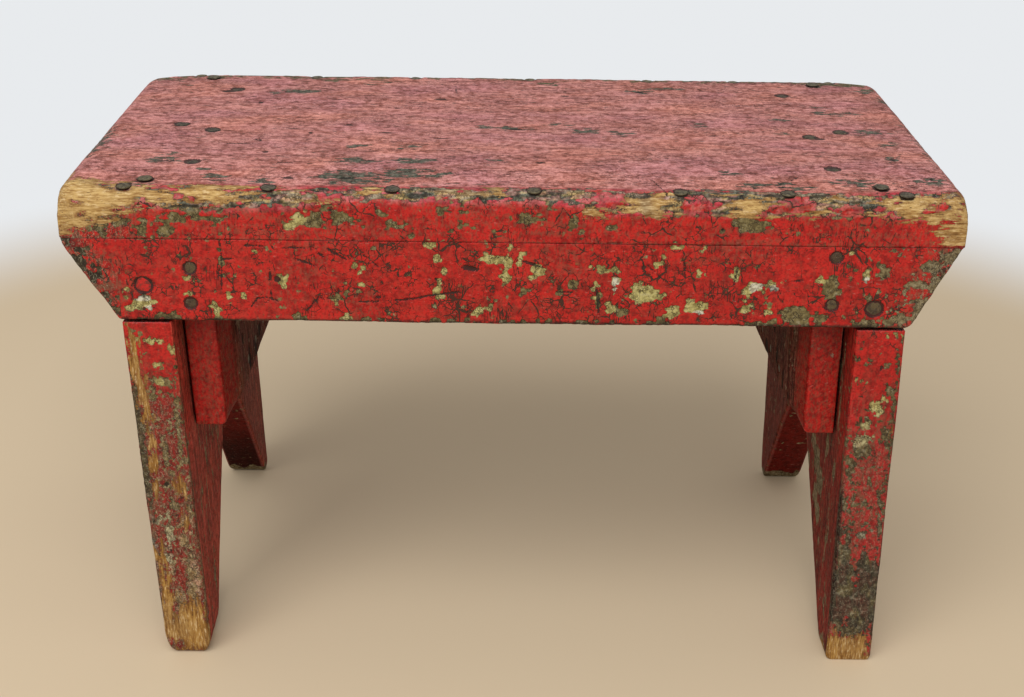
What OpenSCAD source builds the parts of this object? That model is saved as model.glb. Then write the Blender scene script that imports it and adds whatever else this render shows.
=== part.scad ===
/* [Stool] */
// Height of the stool from the floor to the top of the seat
stool_h = 248; // [220:1:280]
// How far the feet have racked sideways from the tops of the legs
rack = 6; // [0:0.5:9]
// How far the rear of the right end board has swung in, against its front
toe = 4; // [0:0.5:6]

/* [Seat board] */
// Length of the seat board, end to end
seat_l = 401; // [370:1:460]
// Depth of the seat board, front to back
seat_w = 192; // [176:1:220]
// Thickness of the seat board
seat_t = 25.5; // [21:0.5:30]
// Radius worn on the long top edges
seat_edge_r = 10; // [5:0.5:12]
// Radius worn on the top edges of the two ends
seat_end_r = 11; // [5:0.5:14]
// Radius of the two front corners, seen from above
front_corner_r = 4; // [2:0.5:14]
// Radius of the two rear corners, seen from above
rear_corner_r = 14; // [2:0.5:20]

/* [Aprons] */
// Height of an apron
apron_h = 39.5; // [34:0.5:46]
// Thickness of an apron
apron_t = 19; // [16:0.5:22]
// How far the top of an apron stops short of each end of the seat
apron_short = 0.5; // [0:0.5:3]
// How far the left end of an apron slopes in, from its top to its bottom
left_end_run = 23.8; // [15:0.2:25]
// How far the right end of an apron slopes in, from its top to its bottom
right_end_run = 19.6; // [15:0.2:25]

/* [Legs] */
// Thickness of a leg board
leg_t = 22.5; // [19:0.5:26]
// Overhang of the seat past the outer face of a leg, at the top of the leg
leg_overhang = 23.2; // [20:0.2:28]
// Height of the sawn notch that parts a leg board into two feet
cut_h = 114; // [80:1:125]
// Half width of that notch at the floor
cut_half_w = 82; // [60:1:84]
// How far that notch sits behind the middle of the board
cut_back = 6.5; // [0:0.5:8]

/* [Cleats] */
// Thickness of a cleat
cleat_t = 21.4; // [19:0.2:26]
// Height of a cleat
cleat_h = 103; // [80:1:110]
// Width of the slanting face at the ends of a cleat, across the cleat
cleat_end_x = 6; // [3:0.5:8]
// Length of the slanting face at the ends of a cleat, along the cleat
cleat_end_y = 20; // [10:1:26]
// Size of the bevel along the lower inner edge of a cleat
cleat_bevel = 8; // [3:0.5:10]

/* [Joints] */
// Gap between a cleat and its leg board
cleat_gap = 0.3; // [0.1:0.1:0.5]
// Clearance at the ends of the cleats and in the notches for the aprons
board_fit = 0.15; // [0.05:0.05:0.4]
// Clearance all round a nail in its hole
nail_fit = 0.05; // [0.02:0.01:0.1]

/* [Nails] */
// Radius of a nail shank
shank_r = 1.6; // [1.2:0.1:2]
// Length of the nails that hold the seat
seat_nail_l = 40; // [34:1:44]
// Radius of the heads of the seat nails
seat_head_r = 3.4; // [2.6:0.1:4]
// Length of the nails that hold an apron to the legs
leg_nail_l = 44; // [36:1:50]
// Radius of the large heads of those nails
leg_head_r = 4.3; // [3.5:0.1:5]
// Length of the nails that hold an apron to the cleats
cleat_nail_l = 28; // [26:1:31]
// Radius of the heads of those nails
cleat_head_r = 3.1; // [2.6:0.1:4]
// Length of the nails that hold a cleat to its leg
brace_nail_l = 36; // [30:1:40]
// Radius of the heads of those nails
brace_head_r = 2.9; // [2.4:0.1:4]
// Thickness of a nail head
head_t = 1.3; // [0.8:0.1:2]
// Length of the point of a nail
point_l = 5; // [3:0.5:8]
// How deep the heads of the nails in the flat faces are driven under
nail_sink = 0.5; // [0.2:0.1:1]
// How deep the heads on the worn front and rear edges are driven under
edge_sink = 2; // [1.5:0.1:2.4]

/* [Places of the nails] */
// Number of nails in the row along an edge of the seat
edge_nails = 7; // [4:1:9]
// Distance from the end of the seat to the first nail of that row
edge_nail_end = 29; // [24:1:34]
// Distance of that row from the face of the apron
edge_nail_in = 5.5; // [5:0.5:8]
// Distance of the corner nails from the face of the apron
corner_nail_in = 12; // [9:0.5:12.5]
// Distance of the corner nails from the end of the seat
corner_nail_end = 38; // [36:0.5:42]
// Distance of the outer nails over a cleat from the face of the apron
cleat_nail_in = 34; // [33:0.5:44]
// Drop of the upper nails of the cleats below the seat, on the apron
upper_nail_drop = 12; // [8:0.5:14]
// Rise of the lower nails of the cleats above the lower edge of the apron
lower_nail_rise = 10; // [7:0.5:13]
// Rise of the large nails above the lower edge of the apron
leg_nail_rise = 14.5; // [9:0.5:18]
// Number of nails in each of the two rows through a cleat into its leg
brace_nails = 4; // [2:1:5]
// Distance between the nails of such a row
brace_nail_pitch = 24; // [16:1:28]
// Rise of the lower row above the bottom of the cleat
brace_low_rise = 16; // [12:1:24]
// Rise of the upper row above the lower row
brace_row_rise = 28; // [20:1:34]

/* [Hidden] */

// How finely round shapes are drawn
$fn = 96;
// Left and right ends of the stool, then its front and rear
LEFT = -1;
RIGHT = 1;
FRONT = -1;
REAR = 1;
// Extra length of a cutting shape past the board that it cuts
spare = 5;
// How far each nail of an edge row strays from even spacing, left to right
edge_stray = [1, 7, 4, 9, 16, 6, 1];
// How far the nails over the legs and cleats stray inwards and outwards
leg_nail_stray = 3.5;
cleat_nail_stray = 2;
// How far the middle nails over the legs and over the cleats stray to the front
leg_nail_forward = 2;
cleat_nail_forward = 11;
// How far the large nails stray along X and Z, at the left and right end
large_nail_stray = [[0.7, 3], [-4, -4.5]];
// The same for the lower and upper nails of the cleats, on the apron
lower_nail_stray = [[1.7, -1], [-3.5, 1.5]];
upper_nail_stray = [[3, -1.5], [-3, 7]];
// Flat left on the point of a nail
point_r = 0.3;
// Chamfer round the top of a nail head
head_chamfer = 0.3;

// Underside of the seat, and the lower edge of the aprons
joint_z = stool_h - seat_t;
apron_z = joint_z - apron_h;
// Half the length of an apron along its top
apron_half_l = seat_l / 2 - apron_short;
// Lean of the leg boards
rack_angle = atan(rack / joint_z);
// Turn of the right end board, seen from above
toe_angle = atan(toe / seat_w);
// Middle of a leg board at its top, measured from the middle of the stool
leg_x = seat_l / 2 - leg_overhang - leg_t / 2;
// Inner and outer face of a cleat, measured inwards from the middle of its leg
cleat_x0 = leg_t / 2 + cleat_gap;
cleat_x1 = cleat_x0 + cleat_t;
// Half the length of a cleat, which fits between the aprons
cleat_half_l = seat_w / 2 - apron_t - board_fit;
// Length of a leg board before it is trimmed to the seat and the floor
leg_blank_l = joint_z + 2 * spare;

// Profile with a flat bottom at 0 and two rounded top corners
module worn_profile(w, t, r) {
    translate([-w / 2, 0]) square([w, t - r]);
    translate([-w / 2 + r, 0]) square([w - 2 * r, t]);
    for (side = [-1, 1])
        translate([side * (w / 2 - r), t - r]) circle(r = r);
}

// Rectangle with rounded corners, centred, each radius for one long side
module plan_outline(l, w, front_r, rear_r) {
    for (edge = [FRONT, REAR]) {
        r = edge == FRONT ? front_r : rear_r;
        translate([-l / 2 + r, edge == FRONT ? -w / 2 : 0]) square([l - 2 * r, w / 2]);
        translate([-l / 2, edge == FRONT ? -w / 2 + r : 0]) square([l, w / 2 - r]);
        for (side = [LEFT, RIGHT])
            translate([side * (l / 2 - r), edge * (w / 2 - r)]) circle(r = r);
    }
}

// Stands a shape drawn in X and Z on its edge, from y0 back to y0 + depth
module along_y(y0, depth)
    translate([0, y0 + depth, 0]) rotate([90, 0, 0])
        linear_extrude(height = depth) children();

// Stands a shape drawn in Y and Z on its edge, from x0 on to x0 + depth
module along_x(x0, depth)
    translate([x0, 0, 0]) rotate([90, 0, 90])
        linear_extrude(height = depth) children();

// Everything between the floor and the seat, and between two planes of Y
module under_seat(half_depth)
    translate([-seat_l, -half_depth, 0]) cube([2 * seat_l, 2 * half_depth, joint_z]);

// Frame of one end: the origin at the middle of the top of the leg board,
// X pointing inwards, with the lean of the leg and the swing of the right end
module at_end(side)
    translate([side * leg_x, -seat_w / 2, joint_z])
        rotate([0, -rack_angle, side == RIGHT ? toe_angle : 0])
            translate([0, seat_w / 2, 0])
                mirror([side == RIGHT ? 1 : 0, 0, 0])
                    children();

// Place along X of a plane that is parallel to a leg board, a distance inwards
// from its middle, at a depth Y and a height Z
function end_x(side, inwards, y, z) =
    side * (leg_x - inwards)
    - (side == RIGHT ? (y + seat_w / 2) * tan(toe_angle) : 0)
    + (joint_z - z) * tan(rack_angle);

// Outline of a nail below the top of its head, which is at 0, grown by a clearance
function below_head(head_r, length, grow) = [
    [head_r + grow, -head_t - grow],
    [shank_r + grow, -head_t - grow],
    [shank_r + grow, -length + point_l],
    [point_r + grow, -length - grow],
    [0, -length - grow]
];

// Nail along Z, point down
module nail(head_r, length)
    rotate_extrude()
        polygon(concat(
            [[0, 0], [head_r - head_chamfer, 0], [head_r, -head_chamfer]],
            below_head(head_r, length, 0)
        ));

// Hole that the same nail fits, open above its head
module nail_hole(head_r, length)
    rotate_extrude()
        polygon(concat(
            [[0, spare], [head_r + nail_fit, spare]],
            below_head(head_r, length, nail_fit)
        ));

// Nails through the seat into one apron: a row, and one near each corner
module at_edge_nails(edge) {
    pitch = (seat_l - 2 * edge_nail_end) / (edge_nails - 1);
    for (i = [0 : edge_nails - 1])
        translate([
            -seat_l / 2 + edge_nail_end + i * pitch + edge_stray[i % len(edge_stray)],
            edge * (seat_w / 2 - edge_nail_in),
            stool_h - edge_sink
        ]) children();
    for (side = [LEFT, RIGHT])
        translate([
            side * (seat_l / 2 - corner_nail_end),
            edge * (seat_w / 2 - corner_nail_in),
            stool_h - nail_sink
        ]) children();
}

// Nail through the seat into the top of each leg
module at_seat_leg_nails()
    for (side = [LEFT, RIGHT])
        translate([
            end_x(side, leg_nail_stray, -leg_nail_forward, joint_z),
            -leg_nail_forward,
            stool_h - nail_sink
        ]) children();

// Three nails through the seat into the top of each cleat
module at_seat_cleat_nails()
    for (side = [LEFT, RIGHT], place = [-1, 0, 1]) {
        y = place == 0 ? -cleat_nail_forward : place * (seat_w / 2 - cleat_nail_in);
        middle = (cleat_x0 + cleat_x1) / 2;
        translate([
            end_x(side, middle - cleat_nail_stray, y, joint_z),
            y,
            stool_h - nail_sink
        ]) children();
    }

// Places a nail that is driven square into the face of an apron
module on_apron(edge, x, z)
    translate([x, edge * (seat_w / 2 - nail_sink), z])
        rotate([edge == FRONT ? 90 : -90, 0, 0])
            children();

// Stray of a nail at one end of the stool
function stray_at(strays, side) = strays[side == LEFT ? 0 : 1];

// One large nail through each end of an apron into the leg
module at_apron_leg_nails(edge)
    for (side = [LEFT, RIGHT]) {
        stray = stray_at(large_nail_stray, side);
        z = apron_z + leg_nail_rise + stray[1];
        on_apron(edge, end_x(side, 0, edge * seat_w / 2, z) + stray[0], z) children();
    }

// Two nails through each end of an apron into the cleat
module at_apron_cleat_nails(edge)
    for (side = [LEFT, RIGHT], upper = [false, true]) {
        stray = stray_at(upper ? upper_nail_stray : lower_nail_stray, side);
        z = (upper ? joint_z - upper_nail_drop : apron_z + lower_nail_rise) + stray[1];
        x = end_x(side, cleat_x0 + (cleat_t - cleat_end_x) / 2, edge * cleat_half_l, z);
        on_apron(edge, x + stray[0], z) children();
    }

// Nails through a cleat into its leg, in two rows
module at_cleat_leg_nails(side)
    at_end(side)
        for (row = [0, 1], i = [0 : brace_nails - 1])
            translate([
                cleat_x1 - nail_sink,
                (i - (brace_nails - 1) / 2) * brace_nail_pitch,
                -cleat_h + brace_low_rise + row * brace_row_rise
            ]) rotate([0, 90, 0]) children();

// Worn seat board, nailed down on everything below it
module seat_board()
    color([0.67, 0.34, 0.34])
    difference() {
        intersection() {
            translate([0, 0, joint_z])
                linear_extrude(height = seat_t)
                    plan_outline(seat_l, seat_w, front_corner_r, rear_corner_r);
            translate([0, 0, joint_z])
                along_x(-seat_l / 2, seat_l) worn_profile(seat_w, seat_t, seat_edge_r);
            translate([0, 0, joint_z])
                along_y(-seat_w / 2, seat_w) worn_profile(seat_l, seat_t, seat_end_r);
        }
        for (edge = [FRONT, REAR])
            at_edge_nails(edge) nail_hole(seat_head_r, seat_nail_l);
        at_seat_leg_nails() nail_hole(seat_head_r, seat_nail_l);
        at_seat_cleat_nails() nail_hole(seat_head_r, seat_nail_l);
    }

// Apron with sloping ends, along one long edge of the seat
module apron(edge)
    difference() {
        along_y(edge == FRONT ? -seat_w / 2 : seat_w / 2 - apron_t, apron_t)
            polygon([
                [-apron_half_l, joint_z],
                [apron_half_l, joint_z],
                [apron_half_l - right_end_run, apron_z],
                [-apron_half_l + left_end_run, apron_z]
            ]);
        at_edge_nails(edge) nail_hole(seat_head_r, seat_nail_l);
        at_apron_leg_nails(edge) nail_hole(leg_head_r, leg_nail_l);
        at_apron_cleat_nails(edge) nail_hole(cleat_head_r, cleat_nail_l);
    }

module front_apron() color([0.72, 0.13, 0.13]) apron(FRONT);

module rear_apron() color([0.72, 0.13, 0.13]) apron(REAR);

// Leg board, parted into two feet and notched for the two aprons
module leg(side)
    difference() {
        intersection() {
            at_end(side)
                translate([-leg_t / 2, -seat_w / 2 - spare, spare - leg_blank_l])
                    cube([leg_t, seat_w + 2 * spare, leg_blank_l]);
            under_seat(seat_w / 2);
        }
        along_x(-seat_l / 2, seat_l)
            polygon([
                [cut_back - cut_half_w * (1 + spare / cut_h), -spare],
                [cut_back + cut_half_w * (1 + spare / cut_h), -spare],
                [cut_back, cut_h]
            ]);
        for (edge = [FRONT, REAR])
            translate([
                -seat_l / 2,
                edge == FRONT ? -seat_w / 2 - spare : seat_w / 2 - apron_t - board_fit,
                apron_z - board_fit
            ]) cube([seat_l, apron_t + board_fit + spare, apron_h + board_fit + spare]);
        at_seat_leg_nails() nail_hole(seat_head_r, seat_nail_l);
        for (edge = [FRONT, REAR])
            at_apron_leg_nails(edge) nail_hole(leg_head_r, leg_nail_l);
        at_cleat_leg_nails(side) nail_hole(brace_head_r, brace_nail_l);
    }

module left_leg() color([0.62, 0.14, 0.13]) leg(LEFT);

module right_leg() color([0.62, 0.14, 0.13]) leg(RIGHT);

// Cleat on the inner face of a leg, under the seat and between the aprons
module cleat(side)
    difference() {
        intersection() {
            at_end(side)
                difference() {
                    translate([0, 0, -cleat_h])
                        linear_extrude(height = cleat_h + spare)
                            polygon([
                                [cleat_x0, -seat_w / 2],
                                [cleat_x1 - cleat_end_x, -seat_w / 2],
                                [cleat_x1 - cleat_end_x, -cleat_half_l],
                                [cleat_x1, -cleat_half_l + cleat_end_y],
                                [cleat_x1, cleat_half_l - cleat_end_y],
                                [cleat_x1 - cleat_end_x, cleat_half_l],
                                [cleat_x1 - cleat_end_x, seat_w / 2],
                                [cleat_x0, seat_w / 2]
                            ]);
                    along_y(-seat_w, 2 * seat_w)
                        polygon([
                            [cleat_x1 - cleat_bevel, -cleat_h],
                            [cleat_x1 - cleat_bevel, -cleat_h - spare],
                            [cleat_x1 + spare, -cleat_h - spare],
                            [cleat_x1 + spare, -cleat_h + cleat_bevel + spare],
                            [cleat_x1, -cleat_h + cleat_bevel]
                        ]);
                }
            under_seat(cleat_half_l);
        }
        at_seat_cleat_nails() nail_hole(seat_head_r, seat_nail_l);
        for (edge = [FRONT, REAR])
            at_apron_cleat_nails(edge) nail_hole(cleat_head_r, cleat_nail_l);
        at_cleat_leg_nails(side) nail_hole(brace_head_r, brace_nail_l);
    }

module left_cleat() color([0.78, 0.12, 0.13]) cleat(LEFT);

module right_cleat() color([0.78, 0.12, 0.13]) cleat(RIGHT);

module front_edge_nails()
    color([0.25, 0.24, 0.20]) at_edge_nails(FRONT) nail(seat_head_r, seat_nail_l);

module rear_edge_nails()
    color([0.25, 0.24, 0.20]) at_edge_nails(REAR) nail(seat_head_r, seat_nail_l);

module seat_leg_nails()
    color([0.25, 0.24, 0.20]) at_seat_leg_nails() nail(seat_head_r, seat_nail_l);

module seat_cleat_nails()
    color([0.25, 0.24, 0.20]) at_seat_cleat_nails() nail(seat_head_r, seat_nail_l);

module apron_leg_nails()
    color([0.27, 0.16, 0.12])
    for (edge = [FRONT, REAR])
        at_apron_leg_nails(edge) nail(leg_head_r, leg_nail_l);

module apron_cleat_nails()
    color([0.30, 0.18, 0.14])
    for (edge = [FRONT, REAR])
        at_apron_cleat_nails(edge) nail(cleat_head_r, cleat_nail_l);

module cleat_leg_nails()
    color([0.20, 0.15, 0.14])
    for (side = [LEFT, RIGHT])
        at_cleat_leg_nails(side) nail(brace_head_r, brace_nail_l);

seat_board();
front_apron();
rear_apron();
left_leg();
right_leg();
left_cleat();
right_cleat();
front_edge_nails();
rear_edge_nails();
seat_leg_nails();
seat_cleat_nails();
apron_leg_nails();
apron_cleat_nails();
cleat_leg_nails();
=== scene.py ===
"""Worn milking stool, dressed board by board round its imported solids.

Every board is one skin: a rounded ring carried along the board, computed as whole arrays in
millimetres. Wear is kept as levels in millimetres, positive where a layer shows and zero on its
outline, so that the outlines stay crisp between the points of a mesh.
"""

import math

import bpy
import numpy as np
from bpy.props import FloatProperty, FloatVectorProperty, PointerProperty
from mathutils import Matrix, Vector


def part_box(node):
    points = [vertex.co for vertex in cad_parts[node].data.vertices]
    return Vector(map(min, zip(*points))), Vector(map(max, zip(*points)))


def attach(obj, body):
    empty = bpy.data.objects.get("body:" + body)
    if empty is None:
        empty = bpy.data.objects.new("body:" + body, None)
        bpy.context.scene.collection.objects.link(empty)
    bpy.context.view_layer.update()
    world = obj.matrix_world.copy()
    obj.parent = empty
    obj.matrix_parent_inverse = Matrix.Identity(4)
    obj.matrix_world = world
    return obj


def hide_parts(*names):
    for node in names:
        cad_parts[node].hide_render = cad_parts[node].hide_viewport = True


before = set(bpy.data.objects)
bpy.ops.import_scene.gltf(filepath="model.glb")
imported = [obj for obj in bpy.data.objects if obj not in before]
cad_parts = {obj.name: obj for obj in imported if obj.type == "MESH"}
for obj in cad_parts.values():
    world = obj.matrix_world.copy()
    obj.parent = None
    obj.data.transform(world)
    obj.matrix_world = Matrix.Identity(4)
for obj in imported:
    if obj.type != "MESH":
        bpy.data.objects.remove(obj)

bl_info = {
    "name": "Worn milking stool",
    "version": (1, 0, 0),
    "blender": (4, 5, 0),
    "location": "3D View > Sidebar > Stool",
    "description": "Builds a nailed stool of seven boards with worn paint",
    "category": "Add Mesh",
}

MM = 0.001
LEFT, RIGHT = -1, 1
FRONT, REAR = -1, 1
APRONS = {FRONT: "front_apron", REAR: "rear_apron"}
CLEATS = {LEFT: "left_cleat", RIGHT: "right_cleat"}
# How far outside every mark a level starts, in millimetres
FAR_OUTSIDE = -9.0
# Sizes of the fibres in bare wood, in millimetres, for boards that lie and boards that stand
GRAIN_LEVEL = (40, 2.2, 2.2)
GRAIN_UPRIGHT = (2.2, 2.2, 40)
# Depth of the shaded relief of paint and of metal, in millimetres
PAINT_BUMP, METAL_BUMP = 0.35, 0.3
# Linear colour inside a crack of the red paint
CRACK_SHADE = (0.050, 0.017, 0.009)
# Half the side of the floor, and where it fades into the backdrop, in metres
FLOOR_REACH = 6.0
FLOOR_FADE = (0.50, 0.72)
WORLD_STRENGTH = 0.52
# The lamp's place and size in metres
LAMP_PLACE = (-0.35, -1.15, 1.55)
LAMP_SIZE = (1.8, 1.4)
LAMP_WATTS = 30
# The camera's place in millimetres, its yaw, pitch and roll in radians, and its lens
CAMERA_PLACE = (-3.406, -709.39, 457.328)
CAMERA_TURN = (0.005878, 0.436031, 0.013924)
SENSOR_WIDTH, FOCAL_LENGTH = 36, 52.255

# Marks are ovals: middle across and up, half length and half height in millimetres, and for some
# the turn in degrees. These are on the front faces, in X and Z, and show the light khaki coat
KHAKI_CHIPS = [
    (-6, 214.5, 8, 3), (3, 216, 1.6, 4.2), (-3, 207, 2.2, 2.6), (11, 210, 4.2, 2.2),
    (9, 206.5, 1.3, 2.2), (-33, 214.5, 2, 2.6), (-30, 210, 2, 1.8), (-33, 198, 2.6, 2),
    (-33, 202.5, 0.9, 3.5), (-14, 190, 3.8, 2, 30), (-36.5, 221, 2.2, 2.6), (-37, 227.5, 1, 1.5),
    (40, 210.5, 6, 1.6, -6), (57.5, 199.5, 5, 5), (64, 198.5, 4.2, 2), (46, 203.5, 1.6, 3),
    (37.5, 200.5, 1.2, 3.5), (44, 192.5, 2, 2.6), (-1, 220.5, 1, 1), (-11, 206.5, 1, 1.2),
    (65, 214, 1.5, 3, -30), (83.5, 208.5, 1.6, 2.6), (99.5, 209, 2.2, 2.6), (82, 193, 5.5, 3.4),
    (72, 190, 3.2, 2.6), (107, 202, 3.6, 2.4, 50), (111, 203, 1.6, 2), (117, 205.5, 2.6, 1.6),
    (105, 192.5, 2.6, 3.4), (114.5, 191, 2.6, 2), (73, 221.5, 3.5, 1), (84.5, 221, 3, 1.1),
    (149.5, 219, 2.2, 1.4, 20), (137, 207.5, 2.6, 2), (158, 209, 1.2, 1.5), (-96, 230.5, 5.8, 2.4, 47),
    (-166, 191.5, 7.5, 2.4, 8), (-172.5, 197, 1.4, 2.6), (-127, 196, 2, 3), (-120.5, 196, 2.2, 2.4),
    (-133.5, 189, 2.6, 2.8), (-102, 203.5, 2.2, 3), (-70, 212, 2.6, 1.5, 35), (-67.5, 206.5, 0.9, 3.6),
    (-145, 196.5, 1.8, 1.2), (-114, 217.5, 1.1, 1), (-75, 186.5, 3, 1.4), (-78, 193, 2.2, 1.1),
    (-145, 203.5, 1.8, 0.9),
]
# Light grey among the khaki
GREY_CHIPS = [
    (46, 203.5, 1.4, 3), (108, 202.6, 1.8, 2), (111, 204, 1.2, 1.6), (117, 202.5, 2.2, 1.2),
    (-166, 194, 3, 1), (158, 207, 1.2, 1.2), (-162, 189.5, 2.4, 0.9), (84, 190, 2, 1),
]
# The same for places that show the dark olive coat
OLIVE_CHIPS = [
    (7, 234.5, 5.6, 3.4), (-30.5, 238.5, 3, 2.6), (25.5, 232.5, 1.5, 3.5), (17.5, 238, 1.5, 1.5),
    (30.5, 227, 1.8, 1.8), (44, 230.5, 2.4, 1.8), (-6, 227, 1.8, 1.1), (27, 204, 2.6, 2.8),
    (3.5, 198.5, 3, 1.5, 20), (20, 199, 1.5, 1.3), (49, 190.5, 2.6, 3.2), (38.5, 196, 1.2, 4.5),
    (104, 232, 8.6, 3.6), (91, 229.5, 1.8, 1.8), (142.5, 203.5, 4, 5.6), (127.5, 189, 7, 4.6),
    (112, 185, 8.6, 2.2), (138.5, 188.5, 4, 2.4), (157.5, 185.5, 5.5, 2.2), (173.5, 188, 6, 3.4, 10),
    (164.5, 211, 2.4, 4), (160, 199, 1.8, 3), (187, 213.5, 5.5, 2.4), (182.5, 204.5, 6, 2),
    (184, 193, 2.6, 6.5, -30), (193, 218, 3.6, 4), (-163, 227, 2.4, 4), (-153, 226, 4, 3.4),
    (-134.5, 233, 7.5, 2.8), (-150.5, 231.5, 8, 2.4), (-129, 225, 1.5, 1.9), (-87, 232.5, 3.6, 4.2),
    (-172.5, 230, 4, 2.4), (-154, 185.5, 5, 2.2), (-95.5, 185.5, 3.6, 1.5), (-79, 196, 4, 0.9, 15),
    (-129.5, 210, 0.7, 7), (-192, 217, 4, 1.6), (-186, 208, 2, 1.2), (-76, 232.5, 4.5, 3.8),
    (-181, 228, 3, 3.6), (63, 235.5, 2, 1.2), (73, 236, 2.2, 1.1), (-30, 184.6, 9, 0.9),
    (8, 184.4, 10, 0.8), (35, 184.6, 6, 0.9), (-62, 184.8, 6, 1), (66, 185, 6, 1.6), (-82, 238, 3, 2),
    (-71, 231.5, 1.2, 2.6), (-67.5, 231, 1.2, 3), (-53, 231, 2.6, 0.9, -15), (-50, 229.5, 2, 1),
    (-66.5, 225.5, 1.4, 1), (-58, 235.5, 2.4, 0.9), (-20, 230, 2.6, 1), (-22, 235.5, 1, 2.4),
    (-44, 226, 1.6, 1.2), (-26, 227, 1.2, 1.5),
]
# Dark scars on the front faces
DARK_SCARS = [
    (-19, 210.5, 5, 1.5, -14), (8, 213, 6, 1, -20), (38.5, 197, 1, 5.5, 5), (-108, 206, 1, 3.4),
    (-105, 204, 1.8, 1.8), (-52, 200.5, 1.4, 0.8), (-34, 205, 0.9, 1), (-85, 216, 2.6, 1, -35),
    (-136, 237, 1.6, 0.7), (92, 229.8, 0.9, 1), (58, 212.2, 0.8, 1.6), (126, 206, 4, 0.8, 12),
    (-60, 196, 1.2, 1), (-131, 207, 0.9, 3), (133, 235.5, 1.2, 0.6), (-78, 199, 0.8, 2.4),
]
# Long cracks on the front faces: two ends in X and Z, and half the width
FRONT_CRACKS = [
    (-129.5, 222, -129, 214, 0.35), (-129, 214, -130, 199, 0.3), (-117, 191, -114.5, 194.5, 0.4),
    (-114.5, 194.5, -110, 195.5, 0.4), (-110, 195.5, -105, 193.5, 0.35), (-108, 199, -108, 195, 0.3),
    (-92, 189.5, -87, 195.5, 0.3), (-87, 195.5, -76, 194.5, 0.3), (-69, 193.8, -60, 194, 0.35),
    (-52, 194.5, -46, 195, 0.5), (-46, 195, -37, 197, 0.4), (-37, 197, -24, 199, 0.35),
    (-66, 216, -60, 211, 0.3), (-82, 219, -74, 214, 0.4), (-96, 214, -88, 211, 0.3),
    (37.5, 202, 39, 190, 0.5), (20, 199.5, 27, 199.5, 0.4), (-128, 213.5, -124, 213.7, 0.3),
    (-118, 220, -110, 219.6, 0.3), (-99, 219.4, -86, 219, 0.3), (60, 213, 66, 207, 0.35),
    (-20, 193, -20, 187, 0.3), (100, 212, 99, 204, 0.3), (76, 215, 77, 207, 0.35),
]
# Places on the front edge band and the corners that are worn to the wood, in X and the distance
# up the front of the seat and over its edge
BARE_EDGE = [
    (-190, 17, 16, 12), (-166, 19, 20, 6.5, 4), (-196, 9, 5, 11), (-131, 21.5, 21, 4.6, 2),
    (-186, 27, 12, 4.5), (34.5, 15.5, 5.7, 2.8, -6), (60, 17, 12, 3.8), (66, 23, 5.7, 1.7),
    (105, 18.5, 10.6, 4.2), (92, 22, 6, 1.6), (133.5, 14.5, 5.3, 1.6, 4), (144, 22.5, 2.4, 1.1),
    (181, 18, 22, 6.2), (194, 13, 11, 10), (196, 8, 7, 9), (-98, 23, 7, 1.6), (-84, 18, 5, 1.4),
    (-18, 24, 10, 1.2), (105, 14.5, 7, 2), (-62, 22.5, 4, 1.2),
]
# Crimson flakes of the newest coat that are left on the band
CRIMSON_FLAKES = [
    (-154, 24.4, 7.4, 1.9), (-146, 19.5, 3.4, 1.6), (-160, 15.6, 5, 1.2), (124, 18.3, 8, 4.3),
    (147, 16.5, 7, 2.9), (80.5, 18, 8.4, 4.4), (42, 20, 7.5, 4.2), (114.5, 16, 3.6, 1.8),
    (20, 17.5, 3, 2), (-3, 17, 4, 1.6), (-55, 23.4, 5, 1.3), (-100, 24, 8, 1.4), (-78, 20, 8, 1.6),
    (186, 18.5, 3.5, 2, 20), (-112, 23.5, 5, 1.2), (-72, 24.5, 5, 1), (168, 24.5, 6, 1),
]
# Places on the top of the seat, in X and Y, that show the grey-green coat
TOP_PATCHES = [
    (-71, -59, 9, 3.5), (-49, -57, 3, 5), (-41, -56, 7, 3), (-74, -77, 12, 5.5), (-69, -84, 10, 3.5),
    (-50, -74, 10, 5), (-32, -75, 5, 2.5), (-161, -60, 3, 3), (-155, -60, 2, 2), (-157, -50, 2, 1.5),
    (-140, -71, 2, 1.5), (-131, -80, 5, 1.8), (-73, -35, 5, 2.2), (-50, -35, 3, 1.8), (-112, 59, 8, 4),
    (-123, 57, 3, 2), (-97, 84, 8, 3.5), (-126, 88, 8, 2.5), (-68, 81, 3, 2), (-76, 75, 2, 2.5),
    (-161, 86, 6, 3), (-171, 71, 2, 3), (-15, -1, 4, 3.5), (-4, -2, 4, 3.5), (-11, -55, 3, 1.5),
    (-188, 82, 8, 3.5), (-176, 88, 9, 2.6), (-143, 90, 14, 2.2), (-97, 91, 12, 2), (-60, 92, 14, 1.4),
    (19, 80, 6, 3.2), (67, 67, 5, 3), (81, 73, 8, 2), (25, 5, 6, 2), (36, -6, 6, 3), (54, -10, 3, 3),
    (48, -7, 4, 2), (91, 7, 2, 3), (136, 17, 3, 2), (132, -7, 3, 1.8), (155, 41, 3, 2), (163, 85, 6, 4),
    (164, 29, 9, 2), (176, -2, 8, 4), (181, -23, 3, 3.5), (176, -44, 3, 4), (96, -69, 3, 3.5),
    (107, -82, 6, 3), (119, -83, 3, 2.5), (126, -85, 5, 2), (187, -77, 7, 3.5), (158, -91, 11, 4.5),
    (2, -3, 4, 2.6), (189, 74, 4, 5), (195, 56, 3, 6), (-196, -30, 3, 22), (198, -20, 2.4, 30),
    (180, 86, 12, 4), (40, 92, 20, 1.4), (130, 91, 20, 2.2), (150, -78, 9, 3), (-110, -84, 6, 2.4),
    (-20, -88, 12, 2.2),
]
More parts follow.
